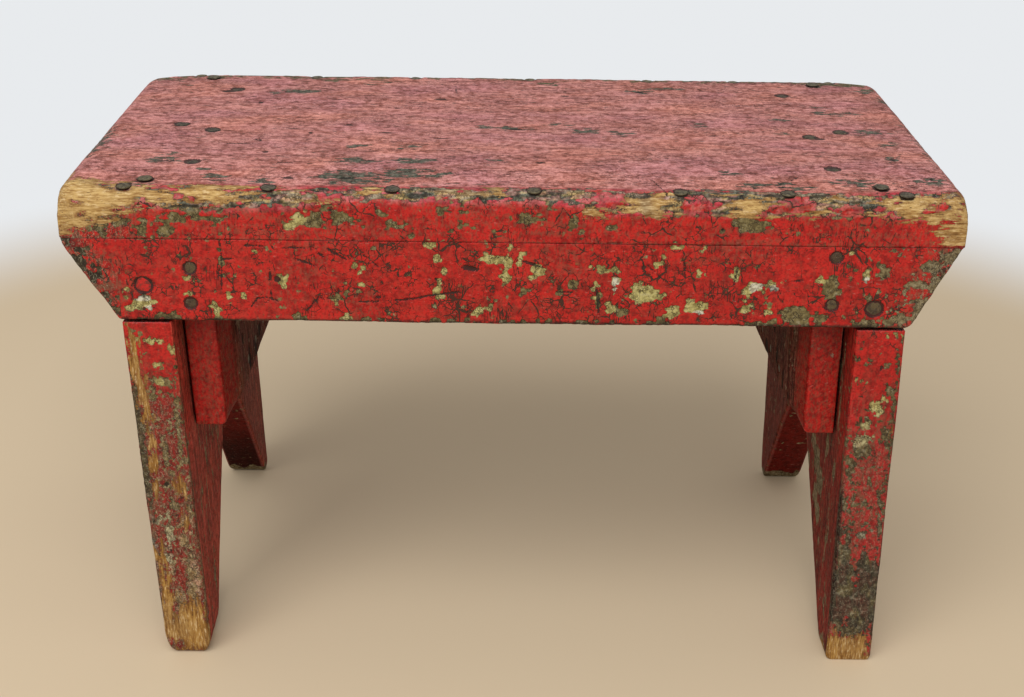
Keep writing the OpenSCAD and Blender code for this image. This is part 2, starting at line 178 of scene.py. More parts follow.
# Dark nicks in the top, in X and Y
TOP_NICKS = [
    (-163, 0, 4, 2), (-147, -8, 3, 1.6), (-150, 58, 4, 2), (-130, 38, 2, 1.6), (-81, 0, 3, 1.4),
    (-115, -46, 2, 1.3), (-100, -80, 3, 1.4), (-110, 31, 1.2, 1), (-38, 48, 4, 1),
    (-98, -14, 1.4, 1.6, 30), (-103, -62, 4, 0.8), (-122, -26, 2, 0.9), (-108, -7, 5, 0.9),
    (-35, -20, 5, 0.9), (-62, -12, 5, 0.9), (-156, -60, 4, 0.8), (27, 56, 3, 1.2), (38, 42, 2, 1),
    (2, -4, 4, 1.6), (148, -14, 3, 1.8), (145, -60, 3, 1.2), (12, -58, 3, 1.2), (148, 60, 3, 1.2),
    (176, -46, 1.4, 2), (118, -84, 2, 1.2), (97, -11, 4, 1.1), (161, -4, 4, 2.2),
    (-158, -61, 5, 1.2, 3), (-38, 47, 4, 1, -6), (67, 66, 4, 1.6), (-74, -79, 5, 1), (-58, -76, 3, 0.9),
    (-84, -60, 4, 1), (-66, -57, 3, 0.9), (-161, 86, 4, 1.4),
]
# Long cracks along the grain of the top, in X and Y, and half the width
TOP_CRACKS = [
    (-139, -33, -123, -32, 0.6), (-124, -26, -119, -29, 0.45), (-31, 73, -30, 59, 0.4),
    (-107, -63, -98, -60, 0.45), (-102, 45, -84, 43, 0.45), (71, 69, 90, 75, 0.5),
    (90, 75, 110, 67, 0.45), (101, -11, 131, 1, 0.5), (118, -81, 130, -71, 0.5),
    (168, -85, 190, -72, 0.5), (61, -77, 67, -93, 0.4), (176, -56, 194, -57, 0.5),
    (102, 44, 133, 42, 0.4), (-60, -30, -40, -31, 0.4), (-20, 52, 0, 51, 0.4), (60, 22, 84, 20, 0.4),
    (24, -62, 50, -60, 0.4), (-90, 8, -60, 8, 0.4), (-170, 20, -150, 22, 0.4), (-60, 30, -30, 31, 0.4),
]
# Places on the front edge of each leg, across the edge from its left arris, and in height. The
# lists are places worn to the wood, places that show the khaki and the dark olive coat, red
# flakes left in them, and small dark holes
LEG_MARKS = {
    LEFT: (
        [
            (2.8, 174, 1.5, 7), (3.8, 164, 2, 8), (4, 155, 2.6, 9, 3), (4.8, 146, 2.2, 9, 3),
            (5.7, 134, 1.9, 9), (5.7, 121, 1.8, 9), (6, 109, 1.9, 9), (5.2, 97, 1.2, 6),
            (17.3, 97, 3.6, 5.5), (17.5, 79, 1.3, 5), (3, 57, 2.8, 8), (3.6, 44, 3, 10),
            (3, 30, 2.8, 9), (13, 12, 17, 14), (15, 23, 7, 7),
        ],
        [
            (13.5, 173, 4, 1.8), (5.3, 173, 1.4, 1.5), (12.5, 161, 2.3, 0.9), (20.8, 169, 1.2, 2.5, 30),
            (13.9, 152, 1.2, 1.3), (8.8, 70, 2.4, 6), (7.4, 57, 2.2, 2.6), (1, 65, 1.5, 2.3),
            (5.4, 78, 1.4, 2.4), (17.4, 126, 1.9, 1.6), (9, 80, 1, 2),
        ],
        [
            (1.2, 134, 2.4, 22), (1.4, 104, 2.4, 18), (14.9, 153, 5.4, 2.4), (19.8, 139, 1.4, 8),
            (10.8, 97, 2.4, 2.2), (18.2, 45, 3.6, 15), (12.1, 117, 1.6, 6), (19.5, 118, 1.5, 8),
            (10, 145, 1.6, 4), (13, 86, 2.4, 3), (14, 104, 1.6, 3), (16, 66, 2.2, 4), (9, 50, 2, 6),
            (10, 32, 2.6, 7), (20.5, 85, 1.4, 9), (1.5, 30, 1.2, 12),
        ],
        [(12.1, 51, 2.2, 10.4), (4.5, 4.5, 3.4, 2.8, 20)],
        [(10.8, 98, 1, 1.2), (8.8, 61, 0.7, 0.8)],
    ),
    RIGHT: (
        [(11.5, 4, 14, 9), (4, 11, 4, 5), (17, 9, 5, 6), (20.6, 131, 0.9, 2.4)],
        [
            (3.9, 157, 1.8, 0.6), (13, 143, 3, 3.6, 20), (8, 126, 4.8, 2.2, 20), (12, 73, 1.9, 1.7),
            (9, 133, 2, 2), (17.8, 180, 2.3, 0.8), (16, 147, 1.6, 1.8, 30),
        ],
        [
            (3.3, 175, 1, 1.1), (1.6, 168, 1.4, 1.5), (2.1, 157, 1.2, 1.3), (15.6, 165, 1.4, 1.5),
            (20.7, 168, 1, 6), (18.7, 152, 2.4, 4, 20), (8, 121, 4, 5), (18.5, 129, 2.8, 4),
            (3.5, 111, 2.4, 6.5), (5.8, 135, 1.2, 2.6), (2.3, 91, 1.9, 4.4), (5.8, 95, 1.4, 1.7),
            (18.8, 94, 1.4, 3.3), (11.6, 40, 13, 27), (3.5, 66, 3, 14), (20.8, 140, 0.8, 30),
            (20.5, 80, 1, 12), (13, 103, 1.5, 2),
        ],
        [
            (10.2, 63, 2.2, 9), (2.9, 72, 1.3, 4.5), (10.7, 48, 2, 3), (17.5, 62, 2, 2.5),
            (16, 74, 3, 4), (7.6, 24, 1.5, 3), (6, 84, 4, 5), (21, 7, 1.4, 6),
        ],
        [(13.4, 164, 0.9, 1.2)],
    ),
}
# Places on the inner face of the right leg that show the older coat, in Y and Z
INNER_PATCHES = [
    (-35, 92, 6, 5), (-45, 86, 6, 8), (-53, 79, 6, 8), (-46, 67, 5, 7), (-53, 60, 4, 7),
    (-78, 99, 2.5, 6), (-62, 106, 3, 8), (-24, 76, 5, 5),
]
# Groups of nails
NAIL_NODES = (
    "front_edge_nails", "rear_edge_nails", "seat_leg_nails", "seat_cleat_nails", "apron_leg_nails",
    "apron_cleat_nails", "cleat_leg_nails",
)
# Dirt on the heads of the nails in the seat
NAIL_GRIME = {"seat_leg_nails": 0.5, "seat_cleat_nails": 0.5, "front_edge_nails": 0.25}
# Dark slots on the inner face of each cleat, in Y and Z, where nails were set and filled
CLEAT_SLOTS = {
    LEFT: [
        (-34, 136, 3, 7), (-16, 133, 3.4, 7), (-75, 168, 2, 5), (-64, 138, 2, 5, 15),
        (-47, 152, 1.5, 4), (-2, 137, 2.4, 4), (30, 150, 2.5, 5), (60, 140, 2.5, 5),
    ],
    RIGHT: [
        (-3, 131, 4, 5), (-62, 121, 3, 4, 20), (-84, 141, 1.6, 4, 15), (-30, 140, 2, 6),
        (-20, 152, 2, 5), (20, 140, 3, 6), (-48, 133, 1.6, 7),
    ],
}


def display_colour(red, green, blue):
    """Linear colour for a colour as a screen shows it, each part from 0 to 1: the sRGB curve."""
    parts = np.array([red, green, blue])
    return tuple(np.where(parts <= 0.04045, parts / 12.92, ((parts + 0.055) / 1.055) ** 2.4))


def length(name, description, size):
    """Length property, given in millimetres and held in metres."""
    return FloatProperty(
        name=name,
        description=description,
        default=size * MM,
        min=0,
        precision=4,
        subtype="DISTANCE",
        unit="LENGTH",
    )


def colour(name, description, *parts):
    """Colour property, given as a screen shows it and held as linear light."""
    return FloatVectorProperty(
        name=name,
        description=description,
        default=display_colour(*parts),
        size=3,
        min=0,
        max=1,
        subtype="COLOR",
    )


class StoolSizes(bpy.types.PropertyGroup):
    """Sizes of the stool's boards and of their wear."""

    rack: length("Rack", "How far the feet have racked sideways from the tops of the legs", 6)
    toe: length("Toe", "How far the rear of the right end board has swung in", 4)
    left_slope: length("Left slope", "Run of the aprons' left ends, top to bottom", 23.8)
    right_slope: length("Right slope", "Run of the aprons' right ends, top to bottom", 19.6)
    apron_short: length("Apron short", "How far an apron stops short of the end of the seat", 0.5)
    leg_thickness: length("Leg thickness", "Thickness of a leg board", 22.5)
    leg_overhang: length("Leg overhang", "Overhang of the seat past the top of a leg", 23.2)
    notch_height: length("Notch height", "Height of the sawn notch that parts a leg's feet", 114)
    notch_half: length("Notch half width", "Half width of that notch at the floor", 82)
    notch_back: length("Notch back", "How far that notch sits behind the middle", 6.5)
    cleat_gap: length("Cleat gap", "Gap between a cleat and its leg", 0.3)
    cleat_thickness: length("Cleat thickness", "Thickness of a cleat", 21.4)
    cleat_cut_x: length("Cleat cut across", "Width of a cleat's slanting end, across it", 6)
    cleat_cut_y: length("Cleat cut along", "Length of a cleat's slanting end, along it", 20)
    cleat_bevel: length("Cleat bevel", "Bevel along a cleat's lower inner edge", 8)
    edge_drop: length("Edge drop", "How far the seat's front edge has worn below its top", 1.8)
    edge_depth: length("Edge depth", "Depth of the rounding worn on the front edge", 6)
    edge_height: length("Edge height", "Height of the rounding worn on the front edge", 11)
    end_round: length("End rounding", "Radius worn on the seat's ends", 9.5)
    foot_round: length("Foot rounding", "Width worn off the sides of a foot", 6.5)
    foot_height: length("Foot height", "Height over which the sides of a foot are worn", 13)
    paint: length("Paint thickness", "Thickness of the paint, with all its coats", 0.3)
    rear_lift: length("Rear nail lift", "How much higher the rear edge nails show than driven", 1.4)


class StoolColours(bpy.types.PropertyGroup):
    """Colours of the stool's coats of paint, its wood and its nails."""

    red: colour("Red", "Newest coat", 0.725, 0.125, 0.10)
    crimson: colour("Crimson", "Newest coat where it is thin, on worn edges", 0.72, 0.20, 0.25)
    # Faded pink is also a painted sheen where it covers the top of the seat
    pink: colour("Faded pink", "Newest coat, faded by use on the seat", 0.85, 0.585, 0.556)
    dull: colour("Dull red", "Old red coat on the inner faces", 0.47, 0.15, 0.12)
    khaki: colour("Khaki", "Light part of the coat under the red", 0.70, 0.66, 0.42)
    olive: colour("Olive", "Dark part of the coat under the red", 0.47, 0.42, 0.27)
    slate: colour("Slate", "Grey-green coat on the edge and the top", 0.42, 0.43, 0.37)
    wood: colour("Wood", "Bare wood of the seat", 0.765, 0.635, 0.405)
    amber: colour("Amber wood", "Bare wood of the feet", 0.68, 0.52, 0.27)
    plum: colour("Plum", "Old red coat on the cleats' inner faces", 0.46, 0.25, 0.21)
    grey_wood: colour("Grey wood", "Weathered wood", 0.58, 0.52, 0.43)
    # Dirt in cracks and round nails, and painted shade in the gap beside each cleat
    dirt_and_shade: colour("Dirt", "Dirt in cracks and round nails", 0.13, 0.10, 0.08)
    steel: colour("Dark steel", "Tarnished nail heads", 0.385, 0.36, 0.285)
    rust: colour("Rust", "Rusty nail heads", 0.25, 0.165, 0.11)
    floor: colour("Floor", "Pale floor", 0.82, 0.74, 0.62)
    backdrop: colour("Backdrop", "Pale backdrop", 0.91, 0.92, 0.93)


def in_mm(sizes):
    """Every length of the sizes, in millimetres, by name."""
    return {name: getattr(sizes, name) / MM for name in sizes.__annotations__}


def node_box(node):
    """Lowest and highest corner of a solid, in millimetres."""
    low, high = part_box(node)
    return np.array(low) / MM, np.array(high) / MM


def lattice(i, j, k, seed):
    """Random value from -1 to 1 at each whole-number place: its numbers mixed bit by bit."""
    h = i * 73856093 ^ j * 19349663 ^ k * 83492791 ^ seed * 40503
    for _ in range(2):
        h = (h ^ (h >> 15)) * 0x2C1B3C6D & 0x7FFFFFFF
    h = h ^ (h >> 12)
    return (h & 0xFFFFF) / 524288 - 1


def cloud(points, size, seed, octaves=1):
    """Smooth random field from -1 to 1: lattice values blended across each cell of that size.

    The size is one number, or one for each axis. Each further octave is half as large and
    half as strong.
    """
    total, weight, share = 0, 0, 1
    for octave in range(octaves):
        p = points / (np.array(size, float) / 2**octave)
        base = np.floor(p).astype(np.int64)
        t = p - base
        t = t * t * (3 - 2 * t)
        value = 0
        for corner in range(8):
            step = np.array([corner & 1, corner >> 1 & 1, corner >> 2])
            near = np.where(step, t, 1 - t).prod(-1)
            at = base + step
            value = value + near * lattice(at[..., 0], at[..., 1], at[..., 2], seed + octave)
        total, weight, share = total + share * value, weight + share, share / 2
    return total / weight


def spots(u, v=0.0):
    """Places for a cloud, from one or two coordinates."""
    return np.stack(np.broadcast_arrays(u, v, 0.0), -1)


def smooth(low, high, value):
    """Smooth step from 0 at low to 1 at high."""
    t = np.clip((value - low) / (high - low), 0, 1)
    return t * t * (3 - 2 * t)


def oval_level(marks, u, v):
    """Level of a union of ovals: the scaled distance inside the nearest outline.

    A fifth number, where a mark has one, turns it by that many degrees.
    """
    level = np.full(np.shape(u), FAR_OUTSIDE)
    for mark_u, mark_v, half_u, half_v, *turn in marks:
        angle = math.radians(turn[0]) if turn else 0
        c, s = math.cos(angle), math.sin(angle)
        a = ((u - mark_u) * c + (v - mark_v) * s) / half_u
        b = ((v - mark_v) * c - (u - mark_u) * s) / half_v
        level = np.maximum(level, (1 - np.hypot(a, b)) * min(half_u, half_v))
    return level


def crack_level(cracks, u, v):
    """Level of a union of straight cracks: half the width less the distance to the line."""
    level = np.full(np.shape(u), FAR_OUTSIDE)
    for u0, v0, u1, v1, half in cracks:
        du, dv = u1 - u0, v1 - v0
        t = np.clip(((u - u0) * du + (v - v0) * dv) / (du * du + dv * dv), 0, 1)
        level = np.maximum(level, half - np.hypot(u - u0 - t * du, v - v0 - t * dv))
    return level


def flaked(u, v, size, field, spread, seed):
    """Level of what has flaked off, in whole cells of cracked paint.

    The paint is cracked into cells round the jittered middles of a lattice of that size. A cell
    is off where the field at its middle, plus a random share of the spread, is positive. The
    level is half the difference of the distances to the nearest cell that holds and to the
    nearest that is off, so its zero line runs along the cracks between them.
    """
    p, q = u / size[0], v / size[1]
    first = np.floor([p.min(), q.min()]).astype(int) - 3
    last = np.ceil([p.max(), q.max()]).astype(int) + 3
    i, j = np.meshgrid(np.arange(first[0], last[0]), np.arange(first[1], last[1]), indexing="ij")
    middle_p = i + 0.5 + 0.42 * lattice(i, j, 1, seed)
    middle_q = j + 0.5 + 0.42 * lattice(i, j, 2, seed)
    off = field(middle_p * size[0], middle_q * size[1]) + spread * lattice(i, j, 3, seed) > 0
    at_i = np.floor(p).astype(int) - first[0]
    at_j = np.floor(q).astype(int) - first[1]
    to_off = np.full(p.shape, 2.5)
    to_held = np.full(p.shape, 2.5)
    for di in range(-2, 3):
        for dj in range(-2, 3):
            a, b = at_i + di, at_j + dj
            away = np.hypot(p - middle_p[a, b], q - middle_q[a, b])
            to_off = np.where(off[a, b], np.minimum(to_off, away), to_off)
            to_held = np.where(off[a, b], to_held, np.minimum(to_held, away))
    return (to_held - to_off) / 2 * min(size)


def arc_inset(distance, radius):
    """How far a rounded edge stands back, a distance from the end: a quarter circle."""
    gap = np.clip(radius - distance, 0, radius)
    return radius - np.sqrt(radius**2 - gap**2)


def shares(count):
    """Even shares of a side from 0 up to, but without, 1."""
    return np.arange(count) / count


def rounded_ring(corners, setbacks, side_steps, corner_steps):
    """Closed ring with rounded corners, for all stations at once.

    Each value is an array over the stations, or one number for all. A corner is cut back along
    the side before it and the side after it, and the two cuts are joined by a quarter ellipse.
    Steps are counts of points. Returns two arrays, stations by points.
    """
    count = len(corners)
    rows = []
    corners = [np.stack(np.broadcast_arrays(*c), -1).astype(float) for c in corners]
    cuts = []
    for k, corner in enumerate(corners):
        before, after = (np.asarray(s, float) for s in setbacks[k])
        back = corners[k - 1] - corner
        on = corners[(k + 1) % count] - corner
        back = back / np.maximum(np.linalg.norm(back, axis=-1, keepdims=True), 1e-9)
        on = on / np.maximum(np.linalg.norm(on, axis=-1, keepdims=True), 1e-9)
        cuts.append((corner + back * before[..., None], corner + on * after[..., None]))
    for k, corner in enumerate(corners):
        start, end = cuts[k][1], cuts[(k + 1) % count][0]
        t = shares(side_steps[k])[None, :, None]
        rows.append(start[:, None] * (1 - t) + end[:, None] * t)
        bend, after = corners[(k + 1) % count], cuts[(k + 1) % count][1]
        t = shares(corner_steps[(k + 1) % count])[None, :, None]
        a, b, c = (1 - t) ** 2, 2 * t * (1 - t) * math.sqrt(0.5), t**2
        arc = end[:, None] * a + bend[:, None] * b + after[:, None] * c
        rows.append(arc / (a + b + c))
    ring = np.concatenate(rows, 1)
    return ring[..., 0], ring[..., 1]


def stations(total, step, round_start, round_end, arc_steps=7, cap_steps=5):
    """Distances of the stations along a board, and how far each ring has shrunk to its middle.

    They crowd over the rounded ends, as the sine of an even angle does, and a few more at
    either end close the skin with shrinking rings.
    """
    angle = np.linspace(0, np.pi / 2, arc_steps, endpoint=False)
    start = round_start * (1 - np.cos(angle))
    end = total - round_end * (1 - np.cos(angle))[::-1]
    count = int(round((total - round_start - round_end) / step))
    middle = np.linspace(round_start, total - round_end, count)
    shrink = np.linspace(0.03, 1, cap_steps, endpoint=False)
    along = np.concatenate([np.zeros(cap_steps), start, middle, end, np.full(cap_steps, total)])
    body = np.ones(len(along) - 2 * cap_steps)
    return along, np.concatenate([shrink, body, shrink[::-1]])


def shrunk(rings, shrink):
    """Each array of rings drawn in to its middle at the stations that close the ends."""
    middles = [ring.mean(1, keepdims=True) for ring in rings]
    return [middle + (ring - middle) * shrink[:, None] for ring, middle in zip(rings, middles)]


def skin_normals(points):
    """Outward direction at each point of a grid of rings: the cross product of its two steps."""
    along = np.gradient(points, axis=0)
    around = np.roll(points, -1, 1) - np.roll(points, 1, 1)
    normal = np.cross(along, around)
    normal /= np.maximum(np.linalg.norm(normal, axis=-1, keepdims=True), 1e-9)
    middle = points.mean(1, keepdims=True)
    outward = np.sum(normal * (points - middle)) > 0
    return normal if outward else -normal


def closed_mesh(name, points, levels, coats=None):
    """Mesh of one or more grids of closed rings, with a fan to a middle point at either end.

    The points are rings by points, or grids by rings by points. The levels are numbers, one for
    each point or one for all, and the coats are colours, kept at each point for the material.
    """
    if points.ndim == 3:
        points = points[None]
    grids, count, around = points.shape[:3]
    size = count * around + 2
    i, j = np.meshgrid(np.arange(count - 1), np.arange(around), indexing="ij")
    ahead = (j + 1) % around
    corners = [i * around + j, (i + 1) * around + j, (i + 1) * around + ahead, i * around + ahead]
    quads = np.stack(corners, -1).reshape(-1, 4)
    ring = np.arange(around)
    end = (count - 1) * around
    triangles = np.concatenate([
        np.stack([np.full(around, size - 2), ring, (ring + 1) % around], -1),
        np.stack([np.full(around, size - 1), end + (ring + 1) % around, end + ring], -1),
    ])
    flat = closed_values(points)
    a, b, c = (flat[np.concatenate([quads[:, :3], triangles])[:, k]] for k in range(3))
    if np.sum((a - flat[0]) * np.cross(b - flat[0], c - flat[0])) < 0:
        quads, triangles = quads[:, ::-1], triangles[:, ::-1]
    shift = np.arange(grids)[:, None, None] * size
    quads, triangles = (quads + shift).reshape(-1, 4), (triangles + shift).reshape(-1, 3)
    mesh = bpy.data.meshes.new(name)
    mesh.vertices.add(len(flat))
    mesh.vertices.foreach_set("co", (flat * MM).ravel())
    mesh.loops.add(quads.size + triangles.size)
    mesh.loops.foreach_set("vertex_index", np.concatenate([quads.ravel(), triangles.ravel()]))
    starts = [np.arange(len(quads)) * 4, quads.size + np.arange(len(triangles)) * 3]
    mesh.polygons.add(len(quads) + len(triangles))
    mesh.polygons.foreach_set("loop_start", np.concatenate(starts))
    mesh.update(calc_edges=True)
    mesh.polygons.foreach_set("use_smooth", np.ones(len(mesh.polygons), bool))
    for key, value in levels.items():
        layer = mesh.attributes.new(key, "FLOAT", "POINT")
        level = np.array(np.broadcast_to(value, points.shape[:-1]), float)
        layer.data.foreach_set("value", closed_values(level[..., None]).ravel())
    for key, value in (coats or {}).items():
        layer = mesh.attributes.new(key, "FLOAT_COLOR", "POINT")
        opaque = np.concatenate([value, np.ones((*value.shape[:-1], 1))], -1)
        layer.data.foreach_set("color", closed_values(opaque[None]).ravel())
    return mesh


def closed_values(grids):
    """Values of each grid row by row, and then the means of its first and its last ring."""
    count, last = len(grids), grids.shape[-1]
    ends = np.stack([grids[:, 0].mean(1), grids[:, -1].mean(1)], 1)
    rows = np.concatenate([grids.reshape(count, -1, last), ends], 1)
    return rows.reshape(-1, last).astype(np.float32)


def solids_of(node):
    """Corner points of each solid of a node, in millimetres.

    Triangles that share a corner belong together: every corner takes the lowest number that
    reaches it, until nothing changes.
    """
    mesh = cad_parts[node].data
    mesh.calc_loop_triangles()
    places = np.empty(len(mesh.vertices) * 3, np.float32)
    mesh.vertices.foreach_get("co", places)
    triangles = np.empty(len(mesh.loop_triangles) * 3, np.int32)
    mesh.loop_triangles.foreach_get("vertices", triangles)
    places = places.reshape(-1, 3).astype(float) / MM
    corners, index = np.unique(places.round(3), axis=0, return_inverse=True)
    triangles = index.ravel()[triangles].reshape(-1, 3)
    label = np.arange(len(corners))
    while True:
        lowest = label.copy()
        np.minimum.at(lowest, triangles.ravel(), np.repeat(label[triangles].min(1), 3))
        lowest = lowest[lowest]
        if (lowest == label).all():
            return [corners[label == number] for number in np.unique(label)]
        label = lowest


def nails_of(node):
    """Top, direction from point to head, head radius, shank radius and length of each nail.

    The long way of a solid tells its axis, and the wider of its two ends is the head.
    """
    nails = []
    for corners in solids_of(node):
        axis = np.argmax(np.ptp(corners, axis=0))
        height = corners[:, axis]
        ends = [corners[height > height.max() - 0.9], corners[height < height.min() + 0.9]]
        ends.sort(key=lambda end: -np.ptp(np.delete(end, axis, 1), axis=0).max())
        head, tip = ((end.min(0) + end.max(0)) / 2 for end in ends)
        direction = (head - tip) / np.linalg.norm(head - tip)
        top = head + direction * ((corners - head) @ direction).max()
        depth = (top - corners) @ direction
        away = np.linalg.norm(corners - top + depth[:, None] * direction, axis=1)
        shank = np.median(away[(depth > 2) & (away > 0.3)])
        nails.append((top, direction, away.max(), shank, depth.max()))
    return nails


def seated(points, nails, floor=0.3, slope=3.0):
    """Sinks a skin round each nail, so that the head stands in a small crater.

    Within the head's radius the skin lies a little under the head's top, and outside it may
    rise with the slope. Only the stretch round the head itself is touched.
    """
    for top, direction, radius, *_ in nails:
        offset = points - top
        height = offset @ direction
        away = np.linalg.norm(offset - height[..., None] * direction, axis=-1)
        allowed = -floor + np.clip(away - radius * 0.94, 0, None) * slope
        over = np.where((np.abs(height) < 6) & (height > allowed), height - allowed, 0)
        points = points - over[..., None] * direction
    return points


def nail_rings(nails, axes, grow):
    """Round marks that reach a little past the heads of the nails, in the two axes named."""
    return [(*top[list(axes)], radius + grow, radius + grow) for top, _, radius, *_ in nails]


def blend(base, *layers):
    """Colours of base, changed towards the colour of each layer by its share at each point."""
    base = np.array(base)
    for other, share in layers:
        base = base + (np.array(other) - base) * share[..., None]
    return base


def relief_of(points, levels, grain, seed, paint):
    """Depth of the skin under its untouched face, in millimetres, never above it.

    It is the sum of the missing coats, the marks, long soft waves, and fine fibres where the
    wood is bare.
    """
    gone = smooth(-0.35, 0.35, levels["chip"])
    bare = smooth(-0.5, 0.5, levels["bare"])
    mark = smooth(-0.3, 0.5, levels["mark"])
    waves = cloud(points, 26, seed, 2) * 0.22 + cloud(points, 5, seed + 7, 2) * 0.07
    fibre = cloud(points, grain, seed + 13, 2)
    weather = levels["weather"]
    depth = paint * (0.55 * gone + 0.45 * bare) + 0.35 * mark
    depth = depth + (0.16 * bare + 0.10 * weather) * (0.5 - 0.5 * fibre)
    return -(depth + 0.22 - np.minimum(waves, 0.22))


def pressed(points, depth, below=None):
    """Skin moved in along its normals by its relief.

    Where seat and apron meet, hardly anything moves up or down. That is done when it is said
    whether the skin lies below the joint.
    """
    shift = skin_normals(points) * depth[..., None]
    if below is not None:
        away = points[..., 2] - node_box("seat_board")[0][2]
        shift[..., 2] *= 0.15 + 0.85 * smooth(0.1, 1.2, -away if below else away)
    return points + shift


def add_piece(name, mesh, material, slot, *nodes):
    """Adds a finished piece that rides on the one body and stands for its solids."""
    piece = bpy.data.objects.new(name, mesh)
    bpy.context.scene.collection.objects.link(piece)
    piece.data.materials.append(material)
    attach(piece, "root")
    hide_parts(*nodes)
    return piece


def add_board(name, node, mesh_parts, material, slot, nails=()):
    """Adds a board from its points, levels and coats, with its skin set in round its nails."""
    points, levels, coats = mesh_parts
    mesh = closed_mesh(name, seated(points, nails), levels, coats)
    add_piece("worn_" + name, mesh, material, slot, node)


def settings(context):
    """The sizes in millimetres, and the colours."""
    return in_mm(context.scene.stool_sizes), context.scene.stool_colours


class Graph:
    """Short calls that build the nodes of one material, or of the world."""

    def __init__(self, owner):
        """Starts without nodes."""
        owner.use_nodes = True
        self.owner = owner
        self.tree = owner.node_tree
        self.tree.nodes.clear()

    def node(self, kind, inputs=(), **settings):
        """Adds a node, sets it and feeds its inputs, given as pairs of name and value."""
        node = self.tree.nodes.new("ShaderNode" + kind)
        for key, value in settings.items():
            setattr(node, key, value)
        for key, value in inputs:
            self.feed(node.inputs[key], value)
        return node

    def feed(self, socket, value):
        """Links a socket to another, or sets its value."""
        if isinstance(value, bpy.types.NodeSocket):
            self.tree.links.new(value, socket)
        else:
            socket.default_value = value

    def math(self, operation, *values):
        """One step of arithmetic."""
        return self.node("Math", list(enumerate(values)), operation=operation).outputs[0]

    def less(self, value, other):
        """First value less the second."""
        return self.math("SUBTRACT", value, other)

    def mul(self, value, factor):
        """Product of two values."""
        return self.math("MULTIPLY", value, factor)

    def more(self, base, value, factor):
        """Base, and a value times a factor."""
        return self.math("MULTIPLY_ADD", value, factor, base)

    def uneven(self, base, noise, reach):
        """Base, moved up and down by noise about its middle."""
        return self.more(base, self.less(noise, 0.5), reach)

    def most(self, largest, *values):
        """Largest of the values."""
        for value in values:
            largest = self.math("MAXIMUM", largest, value)
        return largest

    def contour(self, noise, level=0.5):
        """How far noise is from one of its levels: 0 along winding lines."""
        return self.math("ABSOLUTE", self.less(noise, level))

    def times(self, vector, factors):
        """Vector with each part multiplied."""
        pairs = [(0, vector), (1, factors)]
        return self.node("VectorMath", pairs, operation="MULTIPLY").outputs[0]

    def plus(self, vector, other):
        """Sum of two vectors."""
        return self.node("VectorMath", [(0, vector), (1, other)], operation="ADD").outputs[0]

    def bent(self, vector, scale, detail, reach):
        """Places moved about by noise."""
        shift = self.noise(vector, scale, detail, "Color")
        return self.plus(vector, self.times(shift, (reach,) * 3))

    def attribute(self, name, output="Fac"):
        """Value kept at the points of the mesh."""
        return self.node("Attribute", attribute_name=name).outputs[output]

    def noise(self, vector, scale=1.0, detail=2.0, output="Fac"):
        """Smooth noise, about 0.5 in the middle."""
        pairs = [("Vector", vector), ("Scale", scale), ("Detail", detail)]
        return self.node("TexNoise", pairs).outputs[output]

    def cells(self, vector, scale, feature="F1", output="Color"):
        """Cells round scattered points."""
        pairs = [("Vector", vector), ("Scale", scale)]
        return self.node("TexVoronoi", pairs, feature=feature).outputs[output]

    def borders(self, vector, scale):
        """How far the nearest border between cells is."""
        return self.cells(vector, scale, "DISTANCE_TO_EDGE", "Distance")

    def ramp(self, value, low, high, to_low=0.0, to_high=1.0):
        """Value taken smoothly from one range to another, and held at its ends."""
        pairs = [("Value", value), ("From Min", low), ("From Max", high)]
        pairs += [("To Min", to_low), ("To Max", to_high)]
        return self.node("MapRange", pairs, interpolation_type="SMOOTHSTEP").outputs[0]

    def mix(self, share, first, second, blend_type="MIX"):
        """Two colours mixed by a share."""
        node = self.node("Mix", data_type="RGBA", blend_type=blend_type)
        for index, value in ((0, share), (6, first), (7, second)):
            self.feed(node.inputs[index], value)
        return node.outputs[2]

    def mottled(self, shade, rows, weight=None):
        """Colour multiplied by factors where a value passes from low to high, row by row.

        A row holds the value, low, high, the largest share and the three factors. The weight,
        where there is one, thins every share.
        """
        for value, low, high, largest, factors in rows:
            share = self.ramp(value, low, high, 0.0, largest)
            if weight is not None:
                share = self.mul(share, weight)
            shade = self.mix(share, shade, rgba(factors), "MULTIPLY")
        return shade

    def finish(self, colour, roughness, height, depth, **constants):
        """Ends the material in one shader with a bump of that depth in metres."""
        bump = self.node("Bump", [("Height", height), ("Distance", depth), ("Strength", 1.0)])
        pairs = [("Base Color", colour), ("Roughness", roughness), ("Normal", bump.outputs[0])]
        pairs += [(key.replace("_", " "), value) for key, value in constants.items()]
        shader = self.node("BsdfPrincipled", pairs)
        self.node("OutputMaterial", [("Surface", shader.outputs[0])])
        return self.owner


def rgba(value):
    """Opaque colour for a socket."""
    return (*value, 1.0)


